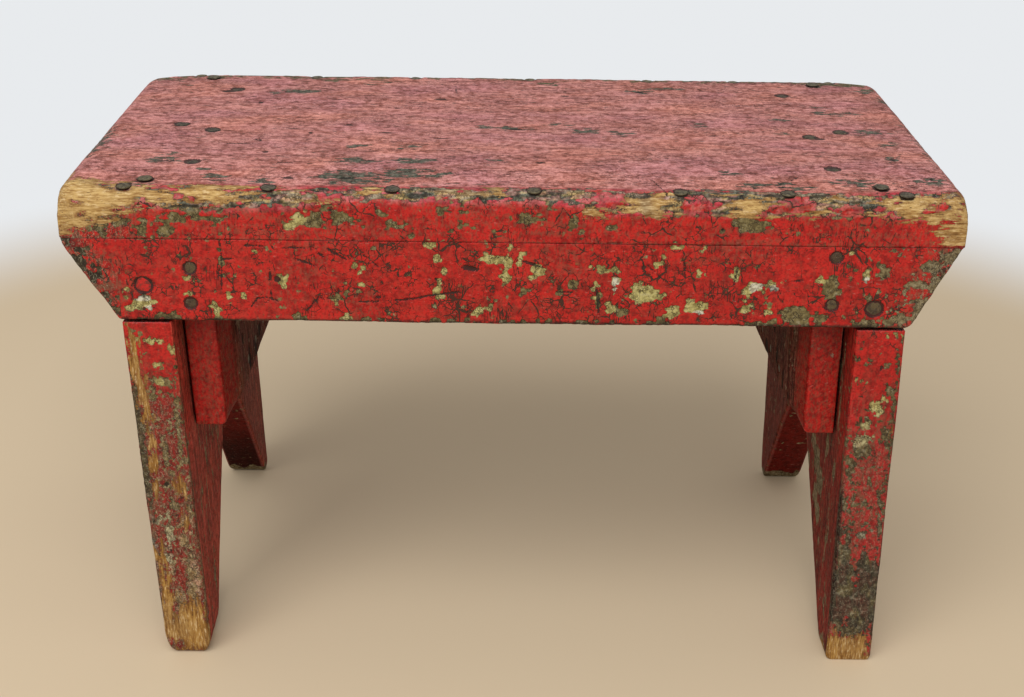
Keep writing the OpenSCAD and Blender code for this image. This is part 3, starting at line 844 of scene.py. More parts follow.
def old_paint(name, grain, colours, bare_wood, cracking=1.0, brushed=False, sawn=0.0):
    """Red paint over an older coat over wood, worn as the levels at the mesh's points say.

    Noise of about a millimetre makes every outline ragged, cells of paint make the small chips,
    and noise stretched along the grain makes the fibres, the dashes and the streaks.
    """
    g = Graph(bpy.data.materials.new(name))
    place = g.times(g.node("TexCoord").outputs["Object"], (1 / MM,) * 3)
    along = g.times(place, grain)
    wavy = g.times(place, tuple(math.sqrt(part) for part in grain))
    chip, bare, mark = (g.attribute(key) for key in ("chip", "bare", "mark"))
    weather, wear = g.attribute("weather"), g.attribute("wear")
    fresh = g.less(1.0, weather)
    fine = g.noise(place, 1.3, 3.0)
    speck = g.noise(place, 0.42, 5.0)
    fibre = g.noise(along, 1.0, 4.0)
    ripple = g.noise(wavy, 0.6, 5.0)

    jagged = g.mul(g.less(fine, 0.5), g.ramp(weather, 0.0, 1.0, 0.8, 1.6))
    torn = g.mul(g.less(ripple, 0.5), g.ramp(weather, 0.0, 1.0, 0.6, 8.0))
    chip = g.math("ADD", chip, g.math("ADD", jagged, torn))
    small = small_chips(g, place, wear)
    crack = g.less(g.mul(paint_cracks(g, place), fresh), 0.05 * (1 - cracking))
    crack = g.more(crack, weather, -0.02)
    patchy = g.most(g.ramp(g.noise(wavy, 0.9, 5.0), 0.70, 0.52, 0.5, 1.0), fresh)
    chipped = g.most(g.mul(g.ramp(chip, -0.1, 0.1), patchy), small, g.ramp(crack, 0.058, 0.072))
    split = g.ramp(crack, 0.0, 0.012)
    ragged = g.uneven(g.uneven(bare, ripple, 4.0), fine, 1.6)
    wooden = g.ramp(ragged, -0.15, 0.15)
    marked = g.ramp(g.uneven(g.uneven(mark, fine, 1.9), ripple, 1.2), -0.15, 0.2)

    coat = red_tones(g, place, along, brushed)
    coat, wrinkle = faded_tones(g, coat, place, along, wavy, weather)
    if sawn:
        coat = sawn_tones(g, coat, along, g.mul(weather, sawn))
    shade = g.mix(split, coat, rgba(CRACK_SHADE))
    shade = g.mix(chipped, shade, under_tones(g, place, chip, colours))
    shade = curled_lines(g, shade, place)
    shade = g.mix(wooden, shade, wood_tones(g, place, along, wavy, ragged, colours, bare_wood))
    shade = g.mix(g.mul(marked, 0.9), shade, rgba(colours.dirt_and_shade))

    dark = g.most(marked, g.mul(split, g.less(1.0, wooden)), g.mul(wrinkle, 0.8))
    grainy = g.most(wooden, weather, 0.25)
    height = g.mul(chipped, -0.55)
    parts = (wooden, -0.4), (dark, -0.7), (speck, 0.5), (fine, 0.35), (g.mul(fibre, grainy), 1.1)
    for part, depth in parts:
        height = g.more(height, part, depth)
    rough = g.most(g.mul(wooden, 0.82), g.mul(chipped, 0.75), g.ramp(weather, 0.0, 1.0, 0.42, 0.72))
    rough = g.uneven(rough, speck, 0.3)
    shine = g.mul(g.attribute("shine"), 0.28)
    return g.finish(shade, rough, height, PAINT_BUMP * MM, Specular_IOR_Level=shine)


def small_chips(g, place, wear):
    """Whole small cells of paint that are missing, for the share of them that wear names."""
    random = g.node("SeparateColor", [(0, g.cells(g.bent(place, 0.9, 2.0, 1.6), 0.62))]).outputs[0]
    flock = g.ramp(g.noise(place, 0.10, 2.0), 0.35, 0.7, 0.0, 2.0)
    return g.ramp(g.less(g.mul(wear, flock), random), 0.0, 0.03)


def paint_cracks(g, place):
    """How far a crack stands open: positive inside, and largest in the middle of wide ones.

    Cracks follow the borders of bent cells, and noise opens and shuts them. Upright ones follow
    a contour of noise that is stretched upwards.
    """
    opened = g.ramp(g.noise(place, 0.11, 4.0), 0.44, 0.72, -0.01, 0.058)
    wide = g.less(opened, g.borders(g.bent(place, 0.16, 3.0, 6.0), 0.125))
    opened = g.ramp(g.noise(g.plus(place, (70, 0, 30)), 0.14, 4.0), 0.47, 0.72, -0.01, 0.085)
    narrow = g.less(opened, g.borders(g.bent(place, 0.5, 2.0, 1.8), 0.36))
    opened = g.ramp(g.noise(g.plus(place, (0, 0, 90)), 0.09, 3.0), 0.50, 0.64, -0.004, 0.022)
    upright = g.less(opened, g.contour(g.noise(g.times(place, (0.5, 0.5, 0.08)), 1.0, 3.0)))
    return g.most(wide, narrow, upright)


def red_tones(g, place, along, brushed):
    """Newest coat: brown and light mottling, slanting brush strokes where asked, and grime."""
    coat = g.mottled(g.attribute("coat", "Color"), (
        (g.noise(place, 0.045, 3.0), 0.38, 0.68, 0.5, (0.70, 0.60, 0.60)),
        (g.noise(place, 0.3, 6.0), 0.44, 0.66, 0.8, (0.48, 0.34, 0.28)),
        (g.noise(place, 1.1, 4.0), 0.46, 0.66, 0.75, (0.55, 0.42, 0.36)),
    ))
    if brushed:
        turned = g.node("VectorRotate", [("Vector", place), ("Angle", 0.7)], rotation_type="Y_AXIS")
        stroke = g.noise(g.times(turned.outputs[0], (0.12, 1.0, 1.3)), 1.0, 3.0)
        share = g.attribute("brushed")
        coat = g.mottled(coat, [(stroke, 0.46, 0.66, 0.6, (0.55, 0.45, 0.42))], share)
        streak = g.mul(g.ramp(stroke, 0.34, 0.24, 0.0, 0.3), share)
        coat = g.mix(streak, coat, rgba((0.62, 0.20, 0.16)))
    light = g.ramp(g.noise(g.times(place, (0.5, 1.0, 1.0)), 0.9, 4.0), 0.62, 0.74, 0.0, 0.22)
    coat = g.mix(light, coat, rgba((0.62, 0.34, 0.27)))
    dirty = g.noise(g.times(place, (1.0, 1.0, 0.5)), 0.85, 5.0)
    dirty = g.math("ADD", dirty, g.more(-0.25, g.noise(along, 0.4, 3.0), 0.5))
    dirty = g.mul(g.ramp(dirty, 0.44, 0.62, 0.0, 0.85), g.attribute("grime"))
    return g.mix(dirty, coat, rgba((0.15, 0.085, 0.045)))


def curled_lines(g, shade, place):
    """Fine dark and pale lines on grimy paint: contours of noise at two of its levels."""
    curl = g.noise(g.times(place, (1.0, 1.0, 0.7)), 0.75, 4.0)
    grimy = g.ramp(g.attribute("grime"), 0.45, 0.9)
    dark = g.ramp(g.contour(curl), 0.030, 0.010, 0.0, 0.8)
    shade = g.mix(g.mul(dark, grimy), shade, rgba((0.045, 0.027, 0.016)))
    pale = g.ramp(g.contour(curl, 0.575), 0.018, 0.006, 0.0, 0.6)
    return g.mix(g.mul(pale, grimy), shade, rgba((0.36, 0.33, 0.22)))


def faded_tones(g, coat, place, along, wavy, weather):
    """Faded coat: warm and cool clouds, wrinkles along the grain, pale flecks and dark dashes.

    Wrinkles are contours of stretched noise. Returns the colour and where the wrinkles are.
    """
    cloudy = g.noise(g.times(place, (0.5, 1.0, 1.0)), 0.04, 5.0)
    coat = g.mottled(coat, (
        (cloudy, 0.50, 0.64, 1.0, (1.04, 0.98, 0.88)),
        (cloudy, 0.50, 0.36, 1.0, (0.95, 0.92, 1.02)),
        (g.noise(along, 1.25, 5.0), 0.46, 0.64, 0.6, (0.56, 0.46, 0.45)),
        (g.noise(wavy, 0.33, 5.0), 0.48, 0.66, 0.75, (0.66, 0.56, 0.54)),
        (g.noise(wavy, 0.9, 5.0), 0.50, 0.64, 0.85, (1.24, 1.34, 1.36)),
    ), weather)
    gate = g.ramp(g.noise(wavy, 0.13, 4.0), 0.38, 0.58)
    ridge = g.ramp(g.contour(g.noise(wavy, 0.5, 6.0)), 0.020, 0.004)
    finer = g.ramp(g.contour(g.noise(wavy, 1.1, 4.0), 0.47), 0.016, 0.004, 0.0, 0.7)
    wrinkle = g.mul(g.mul(g.most(ridge, finer), gate), weather)
    coat = g.mix(wrinkle, coat, rgba((0.28, 0.19, 0.18)), "MULTIPLY")
    deep = g.noise(g.plus(wavy, (9, 0, 5)), 0.75, 6.0)
    deep = g.mul(g.ramp(deep, 0.635, 0.69, 0.0, 0.85), weather)
    coat = g.mix(deep, coat, rgba((0.085, 0.055, 0.042)))
    return coat, g.most(wrinkle, deep)


def sawn_tones(g, coat, along, share):
    """Paint on rough-sawn faces: dark grooves and pale ridges along the grain."""
    groove = g.noise(along, 0.8, 5.0)
    return g.mottled(coat, (
        (groove, 0.51, 0.63, 1.0, (0.30, 0.22, 0.20)),
        (groove, 0.47, 0.36, 1.0, (1.5, 1.75, 1.75)),
    ), share)


def under_tones(g, place, chip, colours):
    """Older coat: darker close under the edges of the red, a painted shadow of the red coat's step,
    with dirt in its own fine cracks.
    """
    speck = g.noise(place, 0.55, 5.0)
    under = g.mottled(g.attribute("under", "Color"), [(speck, 0.42, 0.64, 0.8, (0.38, 0.33, 0.26))])
    under = g.mix(g.ramp(speck, 0.44, 0.3, 0.0, 0.25), under, rgba((0.50, 0.46, 0.34)))
    border = g.ramp(g.borders(g.bent(place, 0.8, 2.0, 2.0), 0.75), 0.13, 0.03)
    gate = g.ramp(g.noise(place, 0.3, 2.0), 0.42, 0.55, 0.0, 0.8)
    under = g.mix(g.mul(border, gate), under, rgba(colours.dirt_and_shade))
    # Painted shadow: the older coat darkens along the outline of the red, where the thick red coat
    # would cast shade
    rim = g.ramp(g.math("ABSOLUTE", chip), 0.0, 0.4, 0.5, 0.0)
    return g.mix(rim, under, rgba((0.30, 0.22, 0.17)), "MULTIPLY")


def wood_tones(g, place, along, wavy, ragged, colours, bare_wood):
    """Bare wood: soft brown smudges, fine fibres, and stained where the paint begins."""
    broad = g.noise(place, 0.06, 3.0)
    wood = g.mix(g.ramp(broad, 0.42, 0.62), rgba(bare_wood), rgba(colours.grey_wood))
    wood = g.mix(g.attribute("tan"), wood, rgba(bare_wood))
    dashes = g.noise(wavy, 1.3, 5.0)
    wood = g.mottled(wood, (
        (g.noise(wavy, 0.36, 5.0), 0.42, 0.68, 0.7, (0.56, 0.43, 0.29)),
        (g.noise(along, 1.6, 5.0), 0.47, 0.60, 0.65, (0.55, 0.42, 0.28)),
        (dashes, 0.52, 0.66, 0.6, (0.50, 0.37, 0.24)),
    ))
    wood = g.mix(g.ramp(dashes, 0.46, 0.32, 0.0, 0.45), wood, rgba((0.78, 0.60, 0.35)))
    pits = g.ramp(g.noise(g.plus(wavy, (5, 5, 5)), 1.6, 4.0), 0.66, 0.72, 0.0, 0.7)
    wood = g.mix(pits, wood, rgba(colours.dirt_and_shade))
    stain = g.ramp(ragged, 0.05, 0.9, 0.65, 0.0)
    return g.mix(stain, wood, rgba((0.42, 0.30, 0.20)), "MULTIPLY")


def worn_metal(name, colours, metal):
    """Tarnished nail heads: blotches of metal, rust and dirt, with paint left on some."""
    g = Graph(bpy.data.materials.new(name))
    place = g.times(g.node("TexCoord").outputs["Object"], (1 / MM,) * 3)
    blotch = g.noise(place, 0.55, 4.0)
    pits = g.noise(place, 1.9, 4.0)
    tinge = g.ramp(g.noise(g.times(place, (0.035,) * 3), 1.0, 0.0), 0.42, 0.58, 0.0, 0.35)
    shade = g.mix(tinge, rgba(metal), rgba(colours.olive))
    dirty = g.math("ADD", g.ramp(blotch, 0.42, 0.64, 0.0, 0.6), g.attribute("grime"))
    shade = g.mix(dirty, shade, rgba(colours.dirt_and_shade))
    shade = g.mix(g.ramp(pits, 0.55, 0.7, 0.0, 0.55), shade, rgba(colours.rust))
    shade = g.mix(g.ramp(pits, 0.42, 0.3, 0.0, 0.5), shade, rgba(colours.grey_wood))
    painted = g.uneven(g.attribute("painted"), g.noise(place, 0.8, 3.0), 2.2)
    mottle = g.mix(g.ramp(blotch, 0.42, 0.62, 0.0, 0.8), rgba(colours.red), rgba((0.10, 0.02, 0.012)))
    shade = g.mix(g.ramp(painted, 0.46, 0.54), shade, mottle)
    return g.finish(shade, 0.62, g.math("ADD", pits, blotch), METAL_BUMP * MM, Specular_IOR_Level=0.35)


def seat_skin(sizes):
    """Seat: its section carried along X, with its top worn down towards the front edge.

    The section is a rectangle with an ellipse on the upper front edge. Quarter circles draw it
    in at both ends. Returns the points and the distance up the front and over the edge.
    """
    low, high = node_box("seat_board")
    along, shrink = stations(high[0] - low[0], 0.76, sizes["end_round"], sizes["end_round"], 9)
    x = low[0] + along
    away = np.minimum(along, high[0] - low[0] - along)
    ridge = cloud(spots(x), 34, 5, 2)
    ripple = cloud(spots(x), 5, 18, 3)
    front = low[1] + arc_inset(away, 1.4) + 0.25 * (1 + ridge)
    turned = np.where(x < 0, 36.0, 28.0)
    rear = high[1] - turned / 3 * np.clip(1 - away / turned, 0, 1) ** 1.7 - arc_inset(away, 3)
    rear = rear - 0.3 * (1 - ridge) - 0.25 * (1 + ripple)
    bottom = low[2] + arc_inset(away, 1.5)
    top = high[2] - arc_inset(away, sizes["end_round"] + 0.6 * ridge)
    corner = smooth(150, 200, np.abs(x))
    deep = sizes["edge_depth"] + 3 * corner + 0.9 * ridge
    tall = np.minimum(sizes["edge_height"] + 1.2 * ridge, top - bottom - 2)
    rear_tall = np.minimum(5, top - bottom - 2)
    ring = rounded_ring(
        [(front, bottom), (front, top), (rear, top), (rear, bottom)],
        [(0.5, 0.28 + 0.25 * ripple), (tall, deep), (6, rear_tall), (1, 1)],
        [20, 88, 7, 14],
        [3, 22, 8, 2],
    )
    y, z = shrunk(ring, shrink)
    worn = sizes["edge_drop"] * smooth(-64, -90, y) + 0.5 * smooth(60, 20, np.abs(y))
    worn = worn * smooth(0, 14, away)[:, None]
    thick = high[2] - low[2]
    z = low[2] + (z - low[2]) * (1 - worn / thick)
    points = np.stack([np.broadcast_to(x[:, None], y.shape), y, z], -1)
    middle = points[len(points) // 2]
    climb = np.cumsum(np.linalg.norm(np.diff(middle, axis=0, prepend=middle[:1]), axis=1))
    return points, np.broadcast_to(climb, y.shape)


def seat_wear(points, climb, nails, colours):
    """Levels and colours of the seat: red front, worn edge band, and faded top, whose pink is partly a
    painted sheen.
    """
    x, y, z = np.moveaxis(points, -1, 0)
    low, high = node_box("seat_board")
    over = smooth(23, 29, climb + 3.0 * cloud(points, (14, 3, 3), 41, 3))
    end_wear = smooth(10, 2, high[0] - np.abs(x))
    underside = z < low[2] + 0.8
    face = y < low[1] + 9

    def raised(u):
        return 4.4 * smooth(-100, -80, u) * smooth(45, 22, u)

    def gone(u, v):
        half = 5.6 - raised(u) / 2
        uneven = (3.0 - raised(u) / 4) * cloud(spots(u, v), (20, 5, 1), 42, 3)
        band = half - np.abs(v - 25.6 + half) + uneven
        chips = oval_level(KHAKI_CHIPS + OLIVE_CHIPS, u, v + low[2])
        return np.maximum(np.where(v < 17, chips, FAR_OUTSIDE), band)

    def held(u, v):
        scattered = 2.8 * cloud(spots(u, v), (9, 2.5, 1), 47, 2) - 1.6
        return np.maximum(oval_level(CRIMSON_FLAKES, u, v), scattered)

    def bared(u, v):
        return oval_level(BARE_EDGE, u, v) + 1.2 * cloud(spots(u, v), (9, 2, 1), 46, 2)

    def patched(u, v):
        strip = 2.4 * cloud(spots(u, v), (26, 6, 1), 48, 3) + 0.9 - 0.32 * np.abs(93 - v)
        return np.maximum(oval_level(TOP_PATCHES, u, v), strip)

    def rear_worn(u, v):
        return cloud(spots(u, v), 14, 9, 2) * 4 - 1.8

    flat = np.where(climb < 34, climb, 34.0)
    flakes = flaked(x, flat, (2.4, 1.1), held, 0.8, 4)
    chip = np.minimum(flaked(x, flat, (2.4, 1.5), gone, 1.0, 3), -flakes)
    patches = flaked(x, y, (3.0, 1.7), patched, 1.1, 6)
    rear = flaked(x, z, (3.4, 2.2), rear_worn, 1, 7)
    chip = np.where(face & (climb < 34), chip, np.where(z > high[2] - 9, patches, rear))
    bare = flaked(x, flat, (5, 1.2), bared, 1.3, 8)
    bare = np.where(climb < 40, np.minimum(bare, -flakes), FAR_OUTSIDE)
    bare = bare - 0.6 * smooth(0.4, 0.0, high[0] - np.abs(x)) * np.clip(y - low[1] - 10, 0, 40)
    ends = 2.2 * cloud(points, (6, 14, 4), 10, 2) - 1.4 + 2.6 * smooth(-60, -92, y)
    ends = ends + 1.0 * smooth(60, 92, y)
    ends = np.where(end_wear > 0, ends * end_wear - 2 * (1 - end_wear), FAR_OUTSIDE)
    bare = np.maximum(bare, ends)
    edge_nails = [nail for nail in nails if nail[0][1] < low[1] + 12]
    inner_nails = [nail for nail in nails if nail[0][1] > low[1] + 12]
    rings = nail_rings(edge_nails, (0, 1), 0.15) + nail_rings(inner_nails, (0, 1), 0.6)
    cracks = crack_level(TOP_CRACKS, x, y + 1.6 * cloud(points, (9, 9, 9), 44, 2))
    upper = z > high[2] - 4
    mark = np.maximum(oval_level(TOP_NICKS + rings, x, y), cracks)
    mark = np.where(upper, mark, FAR_OUTSIDE)
    scars = np.maximum(oval_level(DARK_SCARS, x, z) - 0.3, crack_level(FRONT_CRACKS, x, z))
    levels = {
        "chip": np.where(underside, -4 + 3 * cloud(points, (30, 6, 6), 12, 2), chip),
        "bare": np.where(underside, FAR_OUTSIDE, bare),
        "mark": np.where(face & ~upper, scars, mark),
        "weather": np.where(underside, 0.4, np.maximum(over, 0.5 * end_wear)),
        "wear": 0.03 * (1 - over) + 0.05 * end_wear + 0.12 * (1 - over) * smooth(-150, -175, x),
        "tan": np.where((x < -105) | (x > 90), 0.9, 0.25),
        "shine": np.where(underside, 0.3, 1.0),
        "grime": (0.42 + 0.5 * smooth(-160, -178, x)) * (1 - over),
    }
    on_edge = smooth(3.5, 0.5, np.abs(climb - 20 - raised(x) / 2) - 5 + raised(x) / 2)
    pinker = 0.3 * on_edge * smooth(0.0, 0.12, cloud(points, (4, 1.5, 1.5), 19, 2))
    # Over the top of the seat the red turns pink: partly faded paint, partly a painted sheen of light
    coat = blend(
        colours.red,
        (colours.pink, over),
        (colours.crimson, on_edge * smooth(-0.15, 0.0, cloud(points, (9, 3, 3), 14, 2))),
        (colours.pink, pinker),
        (colours.dull, np.where(underside, 1.0, 0.0)),
    )
    band = smooth(12, 15, climb - raised(x))
    tone = cloud(points, (12, 3.5, 3.5), 15, 3)
    small = cloud(points, (4, 1.4, 1.4), 16, 3)
    pinkish = cloud(points, (6, 1.6, 1.6), 17, 3)
    under = blend(
        colours.olive,
        (colours.khaki, smooth(-1.5, -0.2, oval_level(KHAKI_CHIPS, x, z))),
        (colours.grey_wood, band * smooth(0.04, 0.12, tone)),
        (colours.slate, band * smooth(-0.06, -0.14, tone)),
        (colours.wood, 0.75 * band * smooth(0.16, 0.24, small)),
        (colours.dirt_and_shade, 0.8 * band * smooth(-0.08, -0.2, small)),
        (colours.pink, 0.35 * band * smooth(0.14, 0.22, pinkish)),
        (colours.slate, over),
        (colours.dirt_and_shade, 0.25 * over),
        (colours.olive, 0.8 * over * smooth(70, 86, y)),
    )
    return levels, {"coat": coat, "under": under}


def seat_nails(sizes):
    """All nails that are driven down through the seat."""
    groups = ("front_edge_nails", "rear_edge_nails", "seat_leg_nails", "seat_cleat_nails")
    return [nail for node in groups for nail in shown_nails(node, sizes)]


def shown_nails(node, sizes):
    """Nails as they show: those of the rear edge stand a little higher than their solids."""
    lift = sizes["rear_lift"] if node == "rear_edge_nails" else 0
    return [(top + lift * way, way, head, shank, reach + lift)
            for top, way, head, shank, reach in nails_of(node)]


class STOOL_OT_seat(bpy.types.Operator):
    """Builds the seat board with its worn edge and faded top, whose pink is partly a painted sheen."""

    bl_idname = "stool.seat"
    bl_label = "Seat board"

    def execute(self, context):
        sizes, colours = settings(context)
        points, climb = seat_skin(sizes)
        nails = seat_nails(sizes)
        levels, coats = seat_wear(points, climb, nails, colours)
        depth = relief_of(points, levels, GRAIN_LEVEL, 21, sizes["paint"])
        parts = pressed(points, depth, below=False), levels, coats
        material = old_paint("seat_paint", (0.07, 1.0, 1.0), colours, colours.wood, 0.85)
        add_board("seat", "seat_board", parts, material, "seat_paint", nails)
        return {"FINISHED"}


def apron_skin(side, sizes):
    """Apron: its section carried along X between two sloping ends.

    A point's share of the way along is measured between the two ends at its own height, and the
    left end swells a little as a sine does.
    """
    low, high = node_box(APRONS[side])
    total = high[0] - low[0]
    along, shrink = stations(total, 0.56, 1.6, 1.6, 4)
    away = np.minimum(along, total - along)
    outer, inner = (low[1], high[1]) if side == FRONT else (high[1], low[1])
    draw = side * arc_inset(away, 1.6)
    sag = cloud(spots(along), 30, 50 + side, 2)
    bottom = low[2] + 0.2 + 0.25 * sag + 0.9 * arc_inset(total - along, 4)
    outer, inner = outer - draw, inner + draw
    ring = rounded_ring(
        [(outer, bottom), (outer, high[2]), (inner, high[2]), (inner, bottom)],
        [(1.6 + 0.4 * sag, 1.4), (0.3, 0.3), (1, 1), (1.2, 1.2)],
        [66, 6, 14, 9],
        [4, 2, 2, 3],
    )
    y, z = shrunk(ring, shrink)
    fall = np.clip((high[2] - z) / (high[2] - low[2]), 0, 1)
    swell = 1.9 * np.sin(np.pi * fall**0.55) + 0.5 * fall + 0.8 * smooth(0.7, 1, fall)
    worn = 0.3 * cloud(spots(z), 7, 52 + side, 2)
    left = low[0] + sizes["left_slope"] * fall - swell + 0.3 + worn
    right = high[0] - sizes["right_slope"] * fall - 0.3 - worn
    x = left + (right - left) * (along / total)[:, None]
    return np.stack([np.clip(x, low[0], high[0]), y, z], -1)


def apron_wear(points, side, nails, colours):
    """Levels and colours of an apron. The rear one's chips are scattered by chance."""
    x, y, z = np.moveaxis(points, -1, 0)
    low, high = node_box(APRONS[side])
    front = side == FRONT
    outer = low[1] if front else high[1]
    face = np.abs(y - outer) < 2.4
    khaki, olive, scars, cracks = KHAKI_CHIPS, OLIVE_CHIPS, DARK_SCARS, FRONT_CRACKS
    if not front:
        chance = np.random.default_rng(8)
        ranges = (-178, 178), (184, 222), (1, 5), (0.9, 3), (-30, 30)
        rows = np.stack([chance.uniform(*ends, 70) for ends in ranges], -1)
        khaki, olive, scars, cracks = rows[:34], rows[34:62], rows[62:], []
    end_left, end_right = x - x.min(0), x.max(0) - x
    edge = np.minimum(end_left, end_right)

    def gone(u, v):
        chips = np.maximum(oval_level(khaki, u, v), oval_level(olive, u, v))
        chips = np.maximum(chips, oval_level(GREY_CHIPS, u, v) if front else FAR_OUTSIDE)
        worn = cloud(spots(u, v), (9, 4, 1), 61, 3) * 4 - 1.0
        low_edge = worn + 0.7 - np.abs(v - low[2]) * 0.8
        right_end = worn + 1.0 - np.clip(177 - u + (v - low[2]) * 0.45, 0, 40) * 0.45
        left_end = worn + 0.75 - np.clip(u + 198 - (high[2] - v) * 0.6, 0, 40) * 0.4
        return np.maximum.reduce([chips, low_edge, right_end, left_end])

    chip = flaked(x, z, (2.1, 1.9), gone, 0.9, 30 + side)
    mark = np.maximum(oval_level(scars, x, z) - 0.3, crack_level(cracks, x, z))
    mark = np.maximum(mark, oval_level(nail_rings(nails, (0, 2), 0.15), x, z))
    bare = 1.6 * cloud(points, (4, 5, 4), 34, 2) - 0.9 - edge * 0.3
    inside = smooth(4, 8, np.abs(y - outer))
    to_right = smooth(150, 180, x)
    levels = {
        "chip": np.where(face, chip, 2.5 * cloud(points, (9, 5, 5), 33, 2) - 1.9),
        "bare": np.where(edge < 5, bare, FAR_OUTSIDE),
        "mark": np.where(face, mark, FAR_OUTSIDE),
        "weather": 0.25 * inside,
        "wear": 0.03 + 0.05 * smooth(14, 4, edge) + 0.12 * to_right,
        "tan": 0.3,
        "shine": 1 - 0.7 * inside,
        "grime": 0.15 + 0.75 * smooth(24, 3, edge) + 0.25 * smooth(0.0, 0.5, cloud(points, 22, 35, 2)),
    }
    climb = z - low[2]
    grey = smooth(-0.6, -0.1, oval_level(GREY_CHIPS, x, z)) * front
    dark = smooth(16, 6, end_left) * smooth(-0.6, -0.1, cloud(points, 5, 36, 2))
    under = blend(
        colours.olive,
        (colours.khaki, smooth(-1.5, -0.2, oval_level(khaki, x, z))),
        (colours.backdrop, 0.42 * grey),
        (colours.dirt_and_shade, 0.82 * np.maximum(smooth(3.5, 0.5, climb), dark)),
        (colours.grey_wood, 0.35 * to_right),
    )
    speckled = cloud(points, 3, 38, 3)
    coat = blend(
        colours.red,
        (colours.dull, inside),
        (colours.dirt_and_shade, 0.75 * smooth(14, 2, end_left) * smooth(-0.3, 0.1, speckled)),
        (colours.dirt_and_shade, 0.85 * smooth(2.6, 1.2, climb) * smooth(-0.4, 0.0, speckled)),
    )
    return levels, {"coat": coat, "under": under}


class STOOL_OT_aprons(bpy.types.Operator):
    """Builds the front and the rear apron with their cracked paint."""

    bl_idname = "stool.aprons"
    bl_label = "Aprons"

    def execute(self, context):
        sizes, colours = settings(context)
        material = old_paint("apron_paint", (0.035, 1.0, 1.0), colours, colours.wood)
        faced = nails_of("apron_leg_nails") + nails_of("apron_cleat_nails")
        for name, side in (("front_board", FRONT), ("rear_board", REAR)):
            points = apron_skin(side, sizes)
            nails = [nail for nail in faced if nail[0][1] * side > 0]
            levels, coats = apron_wear(points, side, nails, colours)
            depth = relief_of(points, levels, GRAIN_LEVEL, 22 + side, sizes["paint"])
            parts = pressed(points, depth, below=True), levels, coats
            add_board(name, APRONS[side], parts, material, "apron_paint", nails)
        return {"FINISHED"}


def end_x(side, inwards, y, z, sizes):
    """Place along X of a plane parallel to an end board, a distance inwards from its middle."""
    low, high = node_box("seat_board")
    middle = high[0] - sizes["leg_overhang"] - sizes["leg_thickness"] / 2
    swing = (y - low[1]) * sizes["toe"] / (high[1] - low[1]) if side == RIGHT else 0
    return side * (middle - inwards) - swing + (low[2] - z) * sizes["rack"] / low[2]


def along_path(path, step):
    """Points spaced evenly along each stretch of a path of paired places.

    The path's rows are an outer place and the inner place across from it, both in Y and Z.
    """
    path = np.array(path, float)
    rows = []
    for start, end in zip(path[:-1], path[1:]):
        count = max(1, int(np.linalg.norm(end[:2] - start[:2]) / step))
        t = shares(count)[:, None]
        rows.append(start * (1 - t) + end * t)
    rows.append(path[-1:])
    return np.concatenate(rows)


def leg_skin(side, sizes):
    """Leg board: its section carried from the front sole over the notch to the rear sole.

    Each station joins a place on the outer outline to one on the notch's outline, and the
    section is as thick as the board and as wide as that line. Quarter ellipses draw in the feet,
    and everything leans and swings as the end of the stool does.
    """
    joint = node_box("seat_board")[0][2]
    outline = node_box("left_leg")[1][1]
    apron_low, apron_high = node_box("front_apron")
    shoulder, neck = apron_low[2] - 0.15, -apron_high[1] + 0.15
    half, tall, back = sizes["notch_half"], sizes["notch_height"], sizes["notch_back"]
    foot = sizes["foot_height"]

    def rung(y, z, share):
        bow = 2.5 * math.sin(math.pi * share)
        return y, z, half * (1 - share) + bow, tall * share

    lifts = foot * (1 - np.cos(np.linspace(0, np.pi / 2, 12)))
    rungs = [rung(outline, lift, lift / tall) for lift in lifts]
    rungs += [rung(outline, shoulder * 0.6, 0.5), rung(outline, shoulder, 0.8)]
    rungs += [rung(neck, shoulder, 0.86), rung(neck, joint, 0.94), rung(12, joint, 0.985)]
    front = [(-y, z, back - inner, inner_z) for y, z, inner, inner_z in rungs]
    rear = [(y, z, back + inner, inner_z) for y, z, inner, inner_z in rungs]
    spine = along_path(front + rear[::-1], 1.2)
    caps = np.linspace(0.05, 1, 5, endpoint=False)
    spine = np.concatenate([spine[:1].repeat(5, 0), spine, spine[-1:].repeat(5, 0)])
    shrink = np.concatenate([caps, np.ones(len(spine) - 10), caps[::-1]])
    outer, inner = spine[:, :2], spine[:, 2:]
    width = np.linalg.norm(inner - outer, axis=1)
    rise = np.minimum(outer[:, 1], inner[:, 1])
    tread = foot * np.where(outer[:, 0] > 0, 0.45, 1.0 if side == LEFT else 0.3)
    slant = sizes["foot_round"] / foot
    thick = sizes["leg_thickness"] / 2 + 0.2
    outside = arc_inset(rise, tread) * slant - thick
    inside = thick - arc_inset(rise, tread * 0.85) * slant * 0.94
    draw = arc_inset(rise, np.minimum(tread, 5)) * (0.7 if side == LEFT else 0.25)
    arris = 1.7 + 0.8 * cloud(spots(spine[:, 1], spine[:, 0] * 0.1), 22, 70 + side, 2)
    sharp = arris - 0.6
    ring = rounded_ring(
        [(outside, draw), (inside, draw), (inside, width - draw), (outside, width - draw)],
        [(sharp, sharp), (arris, arris), (1.3, 1.3), (1.5, 1.5)],
        [32, 34, 13, 30],
        [4, 4, 3, 3],
    )
    inwards, across = shrunk(ring, shrink)
    step = ((inner - outer) / width[:, None])[:, None]
    y, z = np.moveaxis(outer[:, None] + step * across[..., None], -1, 0)
    return np.stack([end_x(side, inwards, y, z, sizes), y, z], -1), inwards


